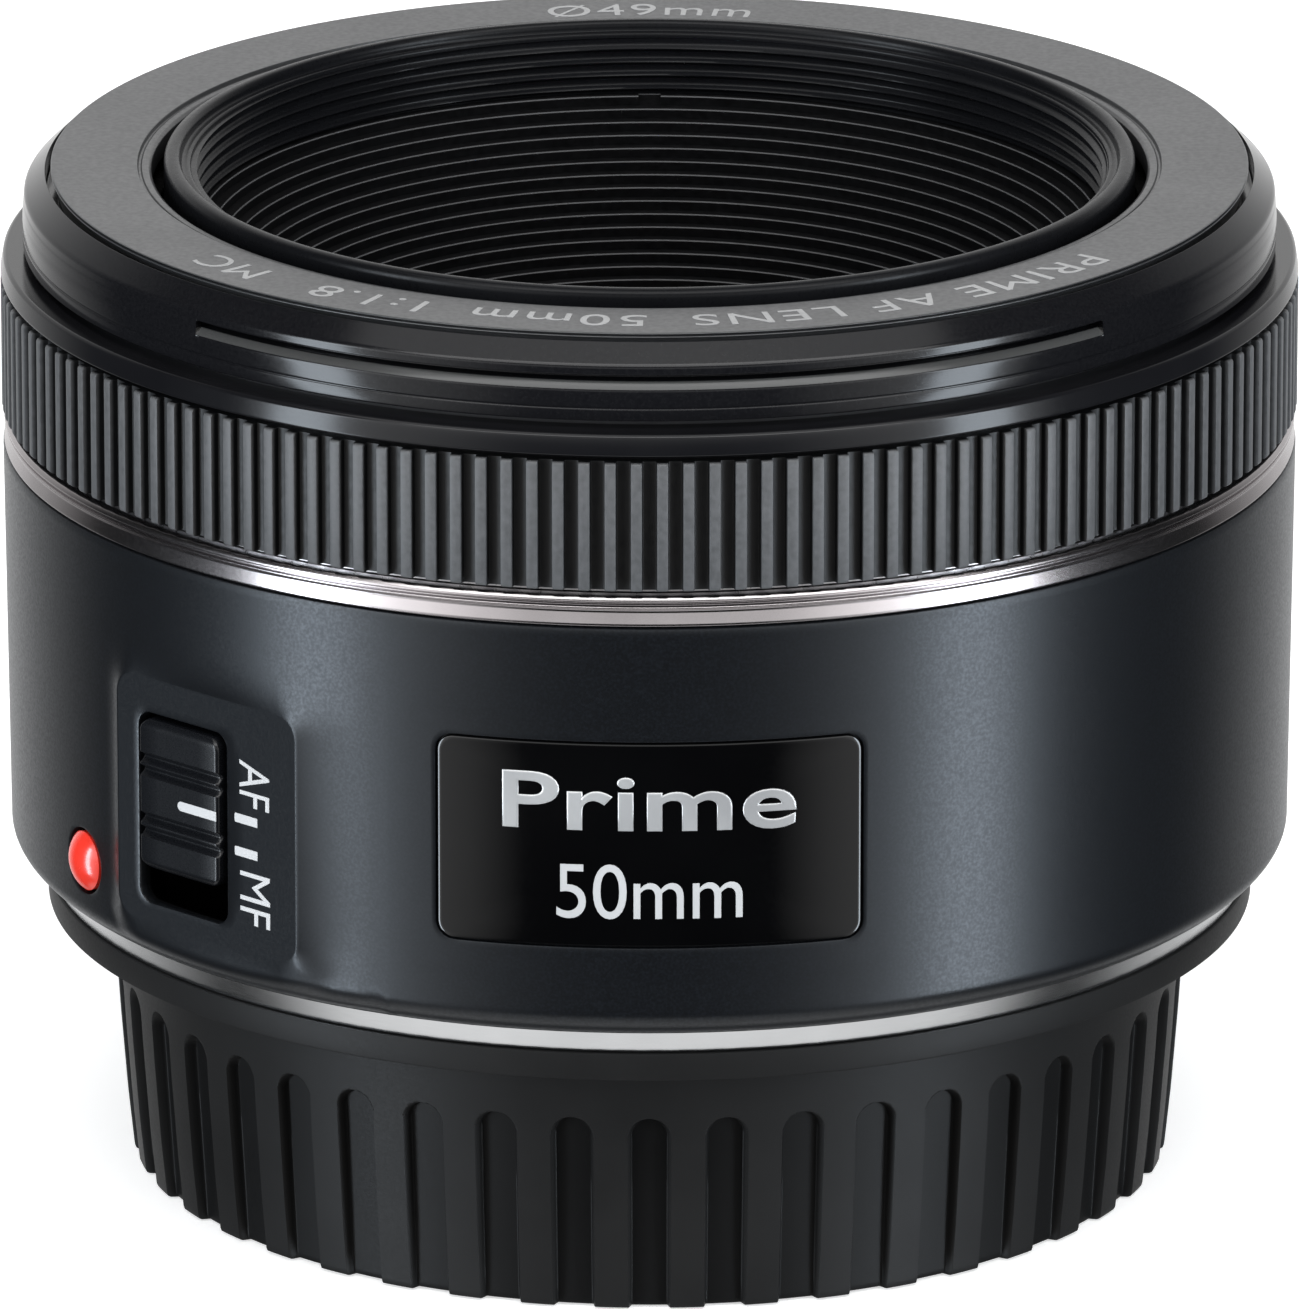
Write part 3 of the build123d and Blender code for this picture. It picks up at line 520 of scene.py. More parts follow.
def grip_rubber():
    """Ribbed band: grey tops on the ridges over painted shade, near black, in the valleys."""
    material, tree, shader = principled("focus_grip")
    # Painted shade: the colour darkens from the ridge tops down into the valleys.
    height = spread(tree, radius_of(tree), 0, 1, (GRIP_VALLEY_R + 0.25) * MM,
                    (GRIP_R - 0.04) * MM)
    fine = noise(tree, 3000, 3)
    tops = mixed(tree, spread(tree, fine, 0, 1), (0.066, 0.067, 0.069), (0.088, 0.089, 0.092))
    tree.links.new(mixed(tree, height, (0.0025, 0.0026, 0.003), tops), shader.inputs["Base Color"])
    tree.links.new(spread(tree, fine, 0.42, 0.56), shader.inputs["Roughness"])
    shader.inputs["Specular IOR Level"].default_value = 0.4
    bumped(tree, shader, fine, 0.25, 1.5e-5)
    return material


def baffle_black():
    """Dull black with a painted highlight, a paler line along the lip of each rib."""
    material, tree, shader = principled("baffle_black")
    top = FLANGE + RIB_Z * MM
    steps = spread(tree, height_of(tree), RIBS, 0, top - RIBS * RIB_STEP_Z * MM, top)
    phase = computed(tree, "FRACT", steps)
    fine = noise(tree, 3000, 3)
    black = mixed(tree, spread(tree, fine, 0, 1), (0.0015, 0.0015, 0.0017), (0.004, 0.004, 0.0045))
    # Painted highlight: a paler band of colour just below the top of each rib step.
    lip = computed(tree, "MULTIPLY", spread(tree, phase, 0, 1, 0.01, 0.03),
                   spread(tree, phase, 1, 0, 0.09, 0.14))
    tree.links.new(mixed(tree, lip, black, (0.07, 0.07, 0.072)), shader.inputs["Base Color"])
    tree.links.new(spread(tree, fine, 0.5, 0.6), shader.inputs["Roughness"])
    shader.inputs["Specular IOR Level"].default_value = 0.15
    bumped(tree, shader, fine, 0.15, 1e-5)
    return material


def cap_plastic():
    """Moulded black plastic, with painted shade on the floors of the finger grooves."""
    material, tree, shader = principled("cap_plastic")
    broad = noise(tree, 120, 4)
    fine = noise(tree, 6500, 3)
    # Painted shade: the colour darkens towards the floors of the finger grooves.
    level = computed(tree, "MULTIPLY_ADD", height_of(tree), -CAP_FLOOR_SLOPE, radius_of(tree))
    floor_level = (CAP_FLOOR_R - CAP_FLOOR_SLOPE * CAP_FLOOR_Z) * MM - CAP_FLOOR_SLOPE * FLANGE
    drift = spread(tree, broad, 0, 1)
    ribs = mixed(tree, drift, (0.0085, 0.0083, 0.0082), (0.0125, 0.0122, 0.012))
    painted_shade = mixed(tree, drift, (0.003, 0.0029, 0.0029), (0.0045, 0.0044, 0.0044))
    share = spread(tree, level, 0, 1, floor_level + 0.05 * MM, floor_level + 0.3 * MM)
    tree.links.new(mixed(tree, share, painted_shade, ribs), shader.inputs["Base Color"])
    tree.links.new(spread(tree, fine, 0.42, 0.5), shader.inputs["Roughness"])
    shader.inputs["Specular IOR Level"].default_value = 0.15
    bumped(tree, shader, fine, 0.2, 1.2e-5)
    return material


def coated_glass():
    """Lens glass with a thin violet-green coating."""
    material, tree, shader = principled("glass")
    shader.inputs["Base Color"].default_value = (0.93, 0.95, 0.98, 1)
    shader.inputs["Transmission Weight"].default_value = 1.0
    shader.inputs["IOR"].default_value = 1.6
    shader.inputs["Thin Film Thickness"].default_value = 320.0
    shader.inputs["Thin Film IOR"].default_value = 1.38
    tree.links.new(spread(tree, noise(tree, 200, 3), 0.0, 0.02), shader.inputs["Roughness"])
    return material


MATERIALS = {
    "bezel_gloss": bezel_gloss(),
    "name_ring_satin": plastic("name_ring_satin", (0.03, 0.031, 0.033), (0.045, 0.046, 0.048),
                               (0.3, 0.4), 0.7, 3200, 0.2, 1e-5),
    "barrel_satin": barrel_paint(),
    "focus_rim_gloss": plastic("focus_rim_gloss", (0.005, 0.005, 0.006), (0.008, 0.008, 0.009),
                               (0.15, 0.18), 0.29, 6000, 0.03, 2e-6),
    "focus_grip": grip_rubber(),
    "trim_chrome": metal("trim_chrome", (0.38, 0.355, 0.36), (0.46, 0.43, 0.435), (0.19, 0.22),
                         6000, (1, 1, 1), 0.02, 2e-6),
    "nameplate_gloss": plastic("nameplate_gloss", (0.0012, 0.0012, 0.0014), (0.002, 0.002, 0.0022),
                               (0.08, 0.12), 0.5, 4000, 0.02, 1e-6),
    "index_red": plastic("index_red", (0.75, 0.035, 0.02), (0.85, 0.05, 0.03), (0.2, 0.28), 0.5,
                         2500, 0.05, 5e-6, coat=0.6),
    "switch_plastic": plastic("switch_plastic", (0.003, 0.0035, 0.0045), (0.0045, 0.005, 0.0065),
                              (0.26, 0.3), 0.4, 9000, 0.06, 3e-6),
    "mount_metal": metal("mount_metal", (0.72, 0.73, 0.74), (0.82, 0.83, 0.84), (0.2, 0.24),
                         900, (1, 1, 14), 0.01, 1e-6),
    "cap_plastic": cap_plastic(),
    "inner_barrel_black": plastic("inner_barrel_black", (0.004, 0.0042, 0.005),
                                  (0.007, 0.0073, 0.0085), (0.26, 0.32), 0.13, 4000, 0.06, 4e-6),
    "baffle_black": baffle_black(),
    "glass": coated_glass(),
    "cell_black": plastic("cell_black", (0.01, 0.01, 0.011), (0.018, 0.018, 0.02), (0.4, 0.55)),
    "structure_plastic": plastic("structure_plastic", (0.03, 0.03, 0.032), (0.045, 0.045, 0.048),
                                 (0.4, 0.55)),
    "steel": metal("steel", (0.5, 0.5, 0.51), (0.62, 0.62, 0.63), (0.25, 0.38)),
    "black_steel": metal("black_steel", (0.03, 0.03, 0.035), (0.05, 0.05, 0.055), (0.35, 0.5)),
    "brass": metal("brass", (0.72, 0.52, 0.22), (0.82, 0.62, 0.3), (0.22, 0.34)),
    "gear_plastic": plastic("gear_plastic", (0.62, 0.6, 0.55), (0.72, 0.7, 0.64), (0.35, 0.5)),
    "board_green": plastic("board_green", (0.01, 0.09, 0.035), (0.02, 0.14, 0.05), (0.25, 0.4)),
    "felt": plastic("felt", (0.004, 0.004, 0.004), (0.012, 0.012, 0.012), (0.85, 1.0), 0.1,
                    6000, 1.0, 1e-4),
}
PRINT_GREY = plastic("print_grey", (0.33, 0.33, 0.33), (0.39, 0.39, 0.39), (0.45, 0.6), 0.4)
PRINT_LIGHT = plastic("print_light", (0.42, 0.42, 0.42), (0.48, 0.48, 0.48), (0.4, 0.5), 0.4)
PRINT_WHITE = plastic("print_white", (0.5, 0.5, 0.5), (0.57, 0.57, 0.57), (0.45, 0.6), 0.4)
WORD_SILVER = plastic("word_silver", (0.38, 0.38, 0.385), (0.6, 0.6, 0.6), (0.2, 0.28), 0.8, 260,
                      0.02, 2e-6, metallic=0.45)


# ---- Front: name ring, bezel, inner barrel and baffle ----

def front_bezel():
    """Gloss ring with the two hood slots, a fine groove and a thin skirt."""
    plain = [(33.32, 37.2), (33.34, 37.1), (33.36, 36.8), (33.37, 36.6), (33.39, 36.4)]
    slotted = [(33.32, 37.2), (32.4, 37.2), (32.4, 36.83), (33.02, 36.83), (33.39, 36.4)]

    def outline(wall):
        return softened([
            (27.6, 36.65), (27.6, 37.65), (32.13, 37.65), (32.16, 38.66), (32.185, 38.695),
            (32.23, 38.653), (33.2, 37.75), (33.3, 37.6), (33.31, 37.4), *wall, (33.4, 36.2),
            (33.4, 35.5), (33.34, 35.46), (33.34, 35.4), (33.38, 35.36), (33.38, 34.75),
            (32.75, 34.75), (32.75, 36.65),
        ], 0.09, 3)

    thetas = all_round()
    for middle in (0, 180, 360):
        for edge in (middle - HOOD_SLOT_HALF, middle + HOOD_SLOT_HALF):
            if 0 < edge < 360:
                thetas += [edge - 0.04, edge + 0.04]
    thetas.sort()
    shapes = (outline(plain), outline(slotted))
    outlines = [shapes[min(t % 180, 180 - t % 180) < HOOD_SLOT_HALF] for t in thetas]
    piece("bezel_ring", swept(outlines, thetas), MATERIALS["bezel_gloss"], ["front_bezel"])


def name_ring():
    """Flat satin ring with a step inside, a fine lip below its outer edge, and its words."""
    outline = softened([
        (26.5, 37.67), (26.5, 38.7), (26.68, 38.84), (27.02, 38.86), (27.06, 38.76),
        (27.2, 38.76), (FACE_LOW_R, FACE_LOW_Z), (FACE_HIGH_R, FACE_HIGH_Z), (31.88, 39.0),
        (31.55, 38.93),
        (31.55, 38.87), (31.86, 38.86), (31.88, 38.8), (31.5, 38.74), (31.5, 37.67),
    ], 0.05, 3)
    piece("name_ring_front", turned(outline), MATERIALS["name_ring_satin"], ["name_ring"])

    def on_ring(centre, radius):
        def at(x, y, lift):
            r = radius + y
            z = between(FACE_LOW_Z, FACE_HIGH_Z, (r - FACE_LOW_R) / (FACE_HIGH_R - FACE_LOW_R))
            return place(r, centre - math.degrees(x / radius), z + lift)
        return at

    words = (
        ("ring_words_type", "PRIME AF LENS", 2.0, 24.6, 28.2, 29.55),
        ("ring_words_focal", "50mm", 2.0, 9.2, -9.2, 29.55),
        ("ring_words_aperture", "1:1.8", 2.0, 6.5, -29.7, 29.55),
        ("ring_words_coating", "MC", 2.0, 4.3, -47.6, 29.55),
        ("ring_words_filter", "Ø49mm", 2.1, 11.2, 180.0, 28.95),
    )
    for name, text, height, width, centre, radius in words:
        lettering(name, text, height, width, on_ring(centre, radius), PRINT_GREY,
                  BODY_OF["name_ring"], SLOT_OF["name_ring"], 0.015, 0.0, 1.12)


def inner_barrel():
    """Moving barrel: rounded front rim, filter thread, wide shell and narrow rear tube."""
    rows = int((THREAD_TOP_Z - THREAD_LOW_Z) / 0.05)

    def thread(theta):
        """Inner wall at an angle, from the top of the thread down to its end."""
        wall = []
        for k in range(rows + 1):
            z = between(THREAD_TOP_Z, THREAD_LOW_Z, k / rows)
            phase = ((z - THREAD_START_Z) / THREAD_PITCH + theta / 360) % 1
            crest = (0.5 + 0.5 * math.cos(2 * math.pi * phase)) ** 3
            wall.append((THREAD_R + THREAD_DEPTH * (1 - crest), z))
        return wall

    rear = softened([
        (24.5, 35.7), (24.5, 19.5), (18.6, 19.5), (18.6, 3.5), (20.0, 3.5), (20.0, 18.3),
        (25.85, 18.3), (25.85, 39.2), (25.7, 39.44), (25.4, 39.53), (25.1, 39.5),
        (24.95, 39.3), (24.92, 38.98), (24.75, 38.95), (24.55, 39.0), (24.4, 38.92),
    ], 0.16, 4)
    thetas = all_round()
    outlines = [thread(t) + rear for t in thetas]
    piece("moving_barrel", swept(outlines, thetas), MATERIALS["inner_barrel_black"],
          ["inner_barrel"])


def baffle_cone():
    """Stepped light trap, whose ribs end in fine rounded edges."""
    inner = []
    for i in range(RIBS):
        r = RIB_R - RIB_STEP_R * i
        z = RIB_Z - RIB_STEP_Z * i
        inner += [(r + 0.06, z), (r, z - 0.07), (r + 0.12, z - RIB_STEP_Z)]
    rest = [(14.31, 24.37), (14.31, 21.85), (15.2, 21.85), (15.2, 23.6), (24.45, 33.6),
            (24.45, 35.58)]
    outline = inner + rest

    def notched(theta):
        """The first rib stands back at the index notch."""
        if abs(theta - 180) > NOTCH_HALF:
            return outline
        return [(max(r, NOTCH_R), z) for r, z in outline[:3]] + outline[3:]

    thetas = all_round()
    for side in (-NOTCH_HALF, NOTCH_HALF):
        thetas += [180 + side - 0.02, 180 + side + 0.02]
    thetas.sort()
    piece("light_trap", swept([notched(t) for t in thetas], thetas), MATERIALS["baffle_black"],
          ["baffle_cone"], sharp=30)


# ---- Focus ring ----

def focus_rim():
    """Gloss ring with a lip above the grip and a seat for it."""
    outline = softened([
        (32.4, 25.9), (33.6, 25.9), (33.6, 33.2), (34.53, 33.2), (34.6, 33.3), (34.45, 34.2),
        (34.3, 34.33), (32.4, 34.33), (32.4, 33.4), (33.0, 33.4), (33.0, 26.5), (32.4, 26.5),
    ], 0.07)
    piece("focus_rim", turned(outline), MATERIALS["focus_rim_gloss"], ["focus_ring"])


def focus_grip():
    """Ribbed band: flat-topped ridges with eased edges and ends."""
    pitch = 360 / RIDGES
    half = ((0.3, 0), (0.25, 0.05), (0.232, 0.2), (0.212, 0.85), (0.198, 0.97), (0.17, 1))
    section = [(-0.5, 0)] + [(-o, h) for o, h in half] + list(reversed(half))
    ends = ((0, 0.7), (0.06, 0.9), (0.16, 1))
    rows = [(GRIP_LOW_Z + dz, share) for dz, share in ends]
    rows += [(GRIP_TOP_Z - dz, share) for dz, share in reversed(ends)]
    thetas, outlines = [], []
    for i in range(RIDGES):
        for offset, height in section:
            thetas.append(pitch * (i + 0.5 + offset))
            wall = [(between(GRIP_VALLEY_R, GRIP_R, height * share), z) for z, share in rows]
            outlines.append([(33.62, GRIP_LOW_Z)] + wall + [(33.62, GRIP_TOP_Z)])
    piece("grip_band", swept(outlines, thetas), MATERIALS["focus_grip"], ["focus_grip"],
          weighted=False)


def trim_ring():
    """Bead over a waisted band."""
    outline = softened([
        (33.1, 23.95), (34.42, 23.95), (34.52, 24.08), (34.3, 24.78), (34.46, 25.0),
        (34.28, 25.08), (34.28, 25.2), (34.48, 25.25), (34.5, 25.34), (34.4, 25.5),
        (34.3, 25.57), (33.1, 25.57),
    ], 0.1, 5)
    piece("trim_band", turned(outline), MATERIALS["trim_chrome"], ["trim_ring"], sharp=60)


# ---- Main barrel with its pad, window recess and index dome ----

def barrel_radius(z):
    """Radius of the barrel's plain skin: a slight taper over a rounded foot."""
    if z >= BARREL_LOW_Z:
        share = (z - BARREL_LOW_Z) / (BARREL_TOP_Z - BARREL_LOW_Z)
        return between(BARREL_LOW_R, BARREL_TOP_R, share)
    share = (z - FOOT_Z) / (BARREL_LOW_Z - FOOT_Z)
    return BARREL_LOW_R - FOOT_DROP * (1 - share) ** 2.1


def pad_point(x, z, distance):
    """Point across the pad, at a distance from the lens axis along the pad's normal."""
    turn = math.radians(PAD_THETA)
    across = Vector((math.cos(turn), math.sin(turn), 0))
    outward = Vector((math.sin(turn), -math.cos(turn), 0))
    return across * x * MM + outward * distance * MM + Vector((0, 0, FLANGE + z * MM))


def skin_depth(x, z):
    """Distance of the plain skin from the axis, along the pad's normal."""
    return math.sqrt(max(barrel_radius(z) ** 2 - x * x, 1))


def pad_outside(x, z):
    """How far out the skin stands round the pad: it fades from the pad's edge to the barrel."""
    middle_z = (PAD_LOW_Z + PAD_HIGH_Z) / 2
    reach_z = (PAD_HIGH_Z - PAD_LOW_Z) / 2 - PAD_CORNER
    reach_x = PAD_HALF - PAD_CORNER
    core = Vector((min(max(x, -reach_x), reach_x), min(max(z - middle_z, -reach_z), reach_z)))
    out = Vector((x, z - middle_z)) - core
    away = out.length - PAD_CORNER
    out.normalize()
    near = core + out * PAD_CORNER
    plain = skin_depth(x, z)
    lift = PAD_D - skin_depth(near.x, near.y + middle_z)
    fade_x = between(FADE_DOWN, FADE_RIGHT, ramp(z, 1, 7)) if out.x > 0 else FADE_LEFT
    fade_z = FADE_UP if out.y > 0 else FADE_DOWN
    share = min(max(away * math.hypot(out.x / fade_x, out.y / fade_z), 0.0), 1.0)
    crisp = (1 - share) ** 3
    soft = 1 - ramp(share, 0, 1)
    return plain + lift * between(crisp, soft, ramp(-out.y, 0.1, 0.8))


def main_barrel():
    """Outer shell as one skin, with the pad, slot and recesses worked into it."""
    foot_rows = [FOOT_Z + (BARREL_LOW_Z - FOOT_Z) * s for s in
                 (0, 0.06, 0.13, 0.21, 0.3, 0.4, 0.5, 0.6, 0.7, 0.8, 0.9)]
    wall_rows = int((BARREL_TOP_Z - 0.15 - BARREL_LOW_Z) / ROW)
    zs = foot_rows + [between(BARREL_LOW_Z, BARREL_TOP_Z - 0.15, k / wall_rows)
                      for k in range(wall_rows + 1)]
    columns = round(360 / COLUMN)
    inner = [(34.5, BARREL_TOP_Z - 0.04), (34.42, BARREL_TOP_Z), (33.0, BARREL_TOP_Z),
             (33.0, 22.7), (29.2, 22.7), (29.2, 21.6), (33.0, 21.6), (33.0, 2.4), (31.6, 2.4),
             (31.6, FOOT_Z)]
    outline = [(barrel_radius(z), z) for z in zs] + inner
    count = len(outline)
    points, _ = swept([outline] * columns, [COLUMN * k for k in range(columns)])

    def number(column, row):
        return (column % columns) * count + row % count

    gaps = []
    extra_faces = []

    def gap(theta_low, theta_high, z_low, z_high):
        """Marks a gap in the skin and gives the point numbers round it."""
        c0, c1 = round(theta_low / COLUMN), round(theta_high / COLUMN)
        r0 = min(range(len(zs)), key=lambda r: abs(zs[r] - z_low))
        r1 = min(range(len(zs)), key=lambda r: abs(zs[r] - z_high))
        gaps.append((c0, c1, r0, r1))
        edge = [(c, r0) for c in range(c0, c1)] + [(c1, r) for r in range(r0, r1)]
        edge += [(c, r1) for c in range(c1, c0, -1)] + [(c0, r) for r in range(r1, r0, -1)]
        return edge

    def fill(edge, rings, floor=True):
        """Joins the gap's edge to the rings, from the outside in."""
        numbers = [[number(c, r) for c, r in edge]]
        for ring in rings:
            start = len(points)
            points.extend(ring)
            numbers.append(list(range(start, start + len(ring))))
        extra_faces.extend(ring_faces(numbers))
        if floor:
            extra_faces.append(tuple(numbers[-1]))

    # Pad and slot
    edge = gap(-57, -23.5, FOOT_Z, 21.0)
    around_pad = []
    for c, r in edge:
        turn = math.radians(c * COLUMN - PAD_THETA)
        around_pad.append((barrel_radius(zs[r]) * math.sin(turn), zs[r]))
    middle_z = (PAD_LOW_Z + PAD_HIGH_Z) / 2
    half_z = (PAD_HIGH_Z - PAD_LOW_Z) / 2
    slot_z = (SLOT_LOW_Z + SLOT_HIGH_Z) / 2
    slot_half_z = (SLOT_HIGH_Z - SLOT_LOW_Z) / 2

    def pad_ring(grow):
        return [(x, z + middle_z) for x, z in rounded_ring(
            [(x, z - middle_z) for x, z in around_pad], PAD_HALF + grow, half_z + grow,
            PAD_CORNER + grow)]

    def slot_ring(grow):
        return [(x + SLOT_X, z + slot_z) for x, z in rounded_ring(
            [(x - SLOT_X, z - slot_z) for x, z in around_pad], SLOT_HALF + grow,
            slot_half_z + grow, SLOT_CORNER + grow)]

    lip = pad_ring(0.015)
    rings = []
    for k in range(1, 22):
        share = (k / 22) ** 0.6
        rings.append([pad_point(between(a[0], b[0], share), between(a[1], b[1], share),
                                pad_outside(between(a[0], b[0], share),
                                            between(a[1], b[1], share)))
                      for a, b in zip(around_pad, lip)])
    rings.append([pad_point(x, z, pad_outside(x, z)) for x, z in lip])
    for grow in (-0.015, -0.1):
        flat = pad_ring(grow)
        rings.append([pad_point(x, z, PAD_D) for x, z in flat])
    rim = slot_ring(0.16)
    for k in range(1, 5):
        rings.append([pad_point(between(a[0], b[0], k / 4), between(a[1], b[1], k / 4), PAD_D)
                      for a, b in zip(flat, rim)])
    for grow, depth in ((0.06, 0.03), (0.0, 0.12), (0.0, SLOT_DEPTH)):
        rings.append([pad_point(x, z, PAD_D - depth) for x, z in slot_ring(grow)])
    fill(edge, rings)

    # Window recess and dome recess, each a rounded opening in the curved skin
    def recess(theta, z, half_x, half_z, corner, limits, depth_r):
        edge = gap(*limits)
        scale = math.radians(1) * BARREL_LOW_R
        outer = [((c * COLUMN - theta) * scale, zs[r] - z) for c, r in edge]

        def ring(grow, radius=None, drop=0.0):
            made = []
            for x, dz in rounded_ring(outer, half_x + grow, half_z + grow, corner + grow):
                r = (radius or barrel_radius(z + dz)) - drop
                made.append(place(r, theta + x / scale, z + dz))
            return made

        flat = rounded_ring(outer, half_x + 0.07, half_z + 0.07, corner + 0.07)
        rings = []
        for share in (0.35, 0.65, 0.85, 1):
            rings.append([place(barrel_radius(z + between(a[1], b[1], share)),
                                theta + between(a[0], b[0], share) / scale,
                                z + between(a[1], b[1], share))
                          for a, b in zip(outer, flat)])
        rings += [ring(0.02, drop=0.02), ring(0, drop=0.07), ring(0, depth_r)]
        for share in (0.6, 0.3, 0.02):
            rings.append([place(depth_r, theta + x * share / scale, z + dz * share)
                          for x, dz in rounded_ring(outer, half_x, half_z, corner)])
        fill(edge, rings)

    plate_half = math.radians(PLATE_HALF) * BARREL_LOW_R + PLATE_MARGIN
    plate_z = (PLATE_LOW_Z + PLATE_HIGH_Z) / 2
    recess(0, plate_z, plate_half, (PLATE_HIGH_Z - PLATE_LOW_Z) / 2 + PLATE_MARGIN,
           PLATE_CORNER + PLATE_MARGIN, (-21, 21, 4.8, 19.3), PLATE_BACK_R - 0.04)
    recess(DOT_THETA, DOT_Z, DOT_R + 0.2, DOT_R + 0.2, DOT_R + 0.2,
           (-64.5, -57, BARREL_LOW_Z, 7.8), 33.6)

    holes = set()
    for c0, c1, r0, r1 in gaps:
        holes.update((c % columns, r) for c in range(c0, c1) for r in range(r0, r1))
    faces = [(number(c, r), number(c, r + 1), number(c + 1, r + 1), number(c + 1, r))
             for c in range(columns) for r in range(count) if (c, r) not in holes]
    piece("barrel_skin", (points, faces + extra_faces), MATERIALS["barrel_satin"],
          ["main_barrel"], weighted=False)


def nameplate():
    """Gloss window with a bevelled edge, a raised word and the focal length."""
    scale = math.radians(1) * PLATE_R
    middle_z = (PLATE_LOW_Z + PLATE_HIGH_Z) / 2
    half_x = PLATE_HALF * scale
    half_z = (PLATE_HIGH_Z - PLATE_LOW_Z) / 2
    directions = []
    for k in range(400):
        turn = 2 * math.pi * k / 400
        directions.append((math.cos(turn) * half_x, math.sin(turn) * half_z))

    def ring(inset, radius, share=1.0):
        shape = rounded_ring(directions, half_x - inset, half_z - inset, PLATE_CORNER - inset)
        return [place(radius, x * share / scale, middle_z + z * share) for x, z in shape]

    rings = [ring(0.3, PLATE_BACK_R), ring(0, PLATE_BACK_R), ring(0, PLATE_R - 0.1),
             ring(0.05, PLATE_R - 0.03), ring(0.14, PLATE_R), ring(0.25, PLATE_R)]
    rings += [ring(0.25, PLATE_R, share) for share in (0.85, 0.7, 0.55, 0.4, 0.25, 0.1)]
    piece("name_window", ringed(rings, close_first=False), MATERIALS["nameplate_gloss"],
          ["nameplate"], sharp=30)

    def on_plate(z):
        return lambda x, y, lift: place(PLATE_R + lift, math.degrees(x / PLATE_R), z + y)

    body, slot = BODY_OF["nameplate"], SLOT_OF["nameplate"]
    lettering("window_word", "Prime", 3.15, 15.4, on_plate(14.4), WORD_SILVER, body, slot,
              0.08, 0.018, 1.04)
    lettering("window_focal", "50mm", 3.0, 9.7, on_plate(9.52), PRINT_LIGHT, body, slot)


def index_dome():
    """Red dome on a short foot."""
    ball_r = (DOT_R ** 2 + DOT_RISE ** 2) / (2 * DOT_RISE)
    turn = math.radians(DOT_THETA)
    outward = Vector((math.sin(turn), -math.cos(turn), 0))
    side = Vector((math.cos(turn), math.sin(turn), 0))
    centre = place(34.3, DOT_THETA, DOT_Z)

    def ring(radius, height):
        return [centre + (outward * height + side * radius * math.cos(a)
                          + Vector((0, 0, radius * math.sin(a)))) * MM
                for a in (2 * math.pi * k / 96 for k in range(96))]

    rings = [ring(DOT_R, -0.65), ring(DOT_R, -0.04)]
    edge = math.asin(DOT_R / ball_r)
    for k in range(16):
        angle = edge * (1 - k / 16)
        rings.append(ring(ball_r * math.sin(angle), ball_r * math.cos(angle) - ball_r + DOT_RISE))
    piece("index_dome", ringed(rings), MATERIALS["index_red"], ["mount_index_dot"])


# ---- Focus mode switch ----

def switch_slider():
    """Knob with two pairs of finger grooves, a plateau between and rounded edges."""
    edge = 0.22

    def top(z):
        height = SLIDER_PROUD
        for groove in GROOVE_ZS:
            height -= 0.34 * max(0.0, 1 - (abs(z - groove) / 0.3) ** 1.6)
        ends = min(SLIDER_TOP_Z - z, z - SLIDER_LOW_Z)
        return height - 0.3 * (1 - min(ends / 0.5, 1)) ** 2

    def half_width(z):
        corner = 0.7
        ends = min(SLIDER_TOP_Z - z, z - SLIDER_LOW_Z)
        if ends >= corner:
            return SLIDER_HALF
        return SLIDER_HALF - corner + math.sqrt(max(corner ** 2 - (corner - ends) ** 2, 0))

    zs = [between(SLIDER_LOW_Z, SLIDER_TOP_Z, k / 180) for k in range(181)]
    rings = []
    for z in zs:
        half, height = half_width(z), top(z)
        profile = [(-half, -1.6), (-half, height - edge)]
        for k in range(1, 5):
            a = math.pi / 2 * k / 4
            profile.append((-half + edge * (1 - math.cos(a)), height - edge * (1 - math.sin(a))))
        for share in (-0.5, 0, 0.5):
            profile.append((half * share, height))
        profile += [(-x, h) for x, h in profile[5::-1]]
        rings.append([pad_point(SLOT_X + x, z, PAD_D + h) for x, h in profile])
    piece("mode_knob", ringed(rings), MATERIALS["switch_plastic"], ["switch_slider"], sharp=50)


def bar(name, x_low, x_high, z, thick, proud, material, body, slot, round_left=True):
    """Thin printed line across the pad, with its left end rounded or square."""
    ends = []
    half = thick / 2
    for k in range(9):
        a = math.pi / 2 + math.pi * k / 8
        reach = half if round_left else 0.05
        ends.append((x_low + reach + reach * math.cos(a), z + half * math.sin(a)))
    ends += [(x_high, z - half), (x_high, z + half)]
    rings = [[pad_point(x, h, PAD_D + proud - drop) for x, h in ends] for drop in (0.03, 0)]
    piece(name, ringed(rings), material, (), body, slot, weighted=False)


def switch_marks():
    """White index line on the knob, and the marks and letters beside the slot."""
    knob, housing = BODY_OF["switch_slider"], BODY_OF["main_barrel"]
    bar("knob_line", -1.75, SLOT_X + SLIDER_HALF - 0.1, 10.82, 0.52, SLIDER_PROUD + 0.012,
        PRINT_WHITE, knob, SLOT_OF["switch_slider"])
    for name, z in (("mark_auto", 10.98), ("mark_manual", 9.15)):
        bar(name, 2.07, 3.72, z, 0.5, 0.012, PRINT_WHITE, housing, SLOT_OF["main_barrel"], False)

    def down_pad(z):
        return lambda x, y, lift: pad_point(3.53 + y, z - x, PAD_D + lift)

    lettering("letters_auto", "AF", 2.15, 2.5, down_pad(13.0), PRINT_WHITE, housing,
              SLOT_OF["main_barrel"], 0.012)
    lettering("letters_manual", "MF", 2.15, 2.85, down_pad(6.7), PRINT_WHITE, housing,
              SLOT_OF["main_barrel"], 0.012)


# ---- Rear cap ----

def cap_radius(z):
    """Radius of the cap's wall between its grooves."""
    stops = ((-15.65, 27.95), (-12.7, 28.25), (-8.1, 28.6), (-1.6, 29.0))
    for (z0, r0), (z1, r1) in zip(stops, stops[1:]):
        if z <= z1:
            return between(r0, r1, (z - z0) / (z1 - z0))
    return stops[-1][1]


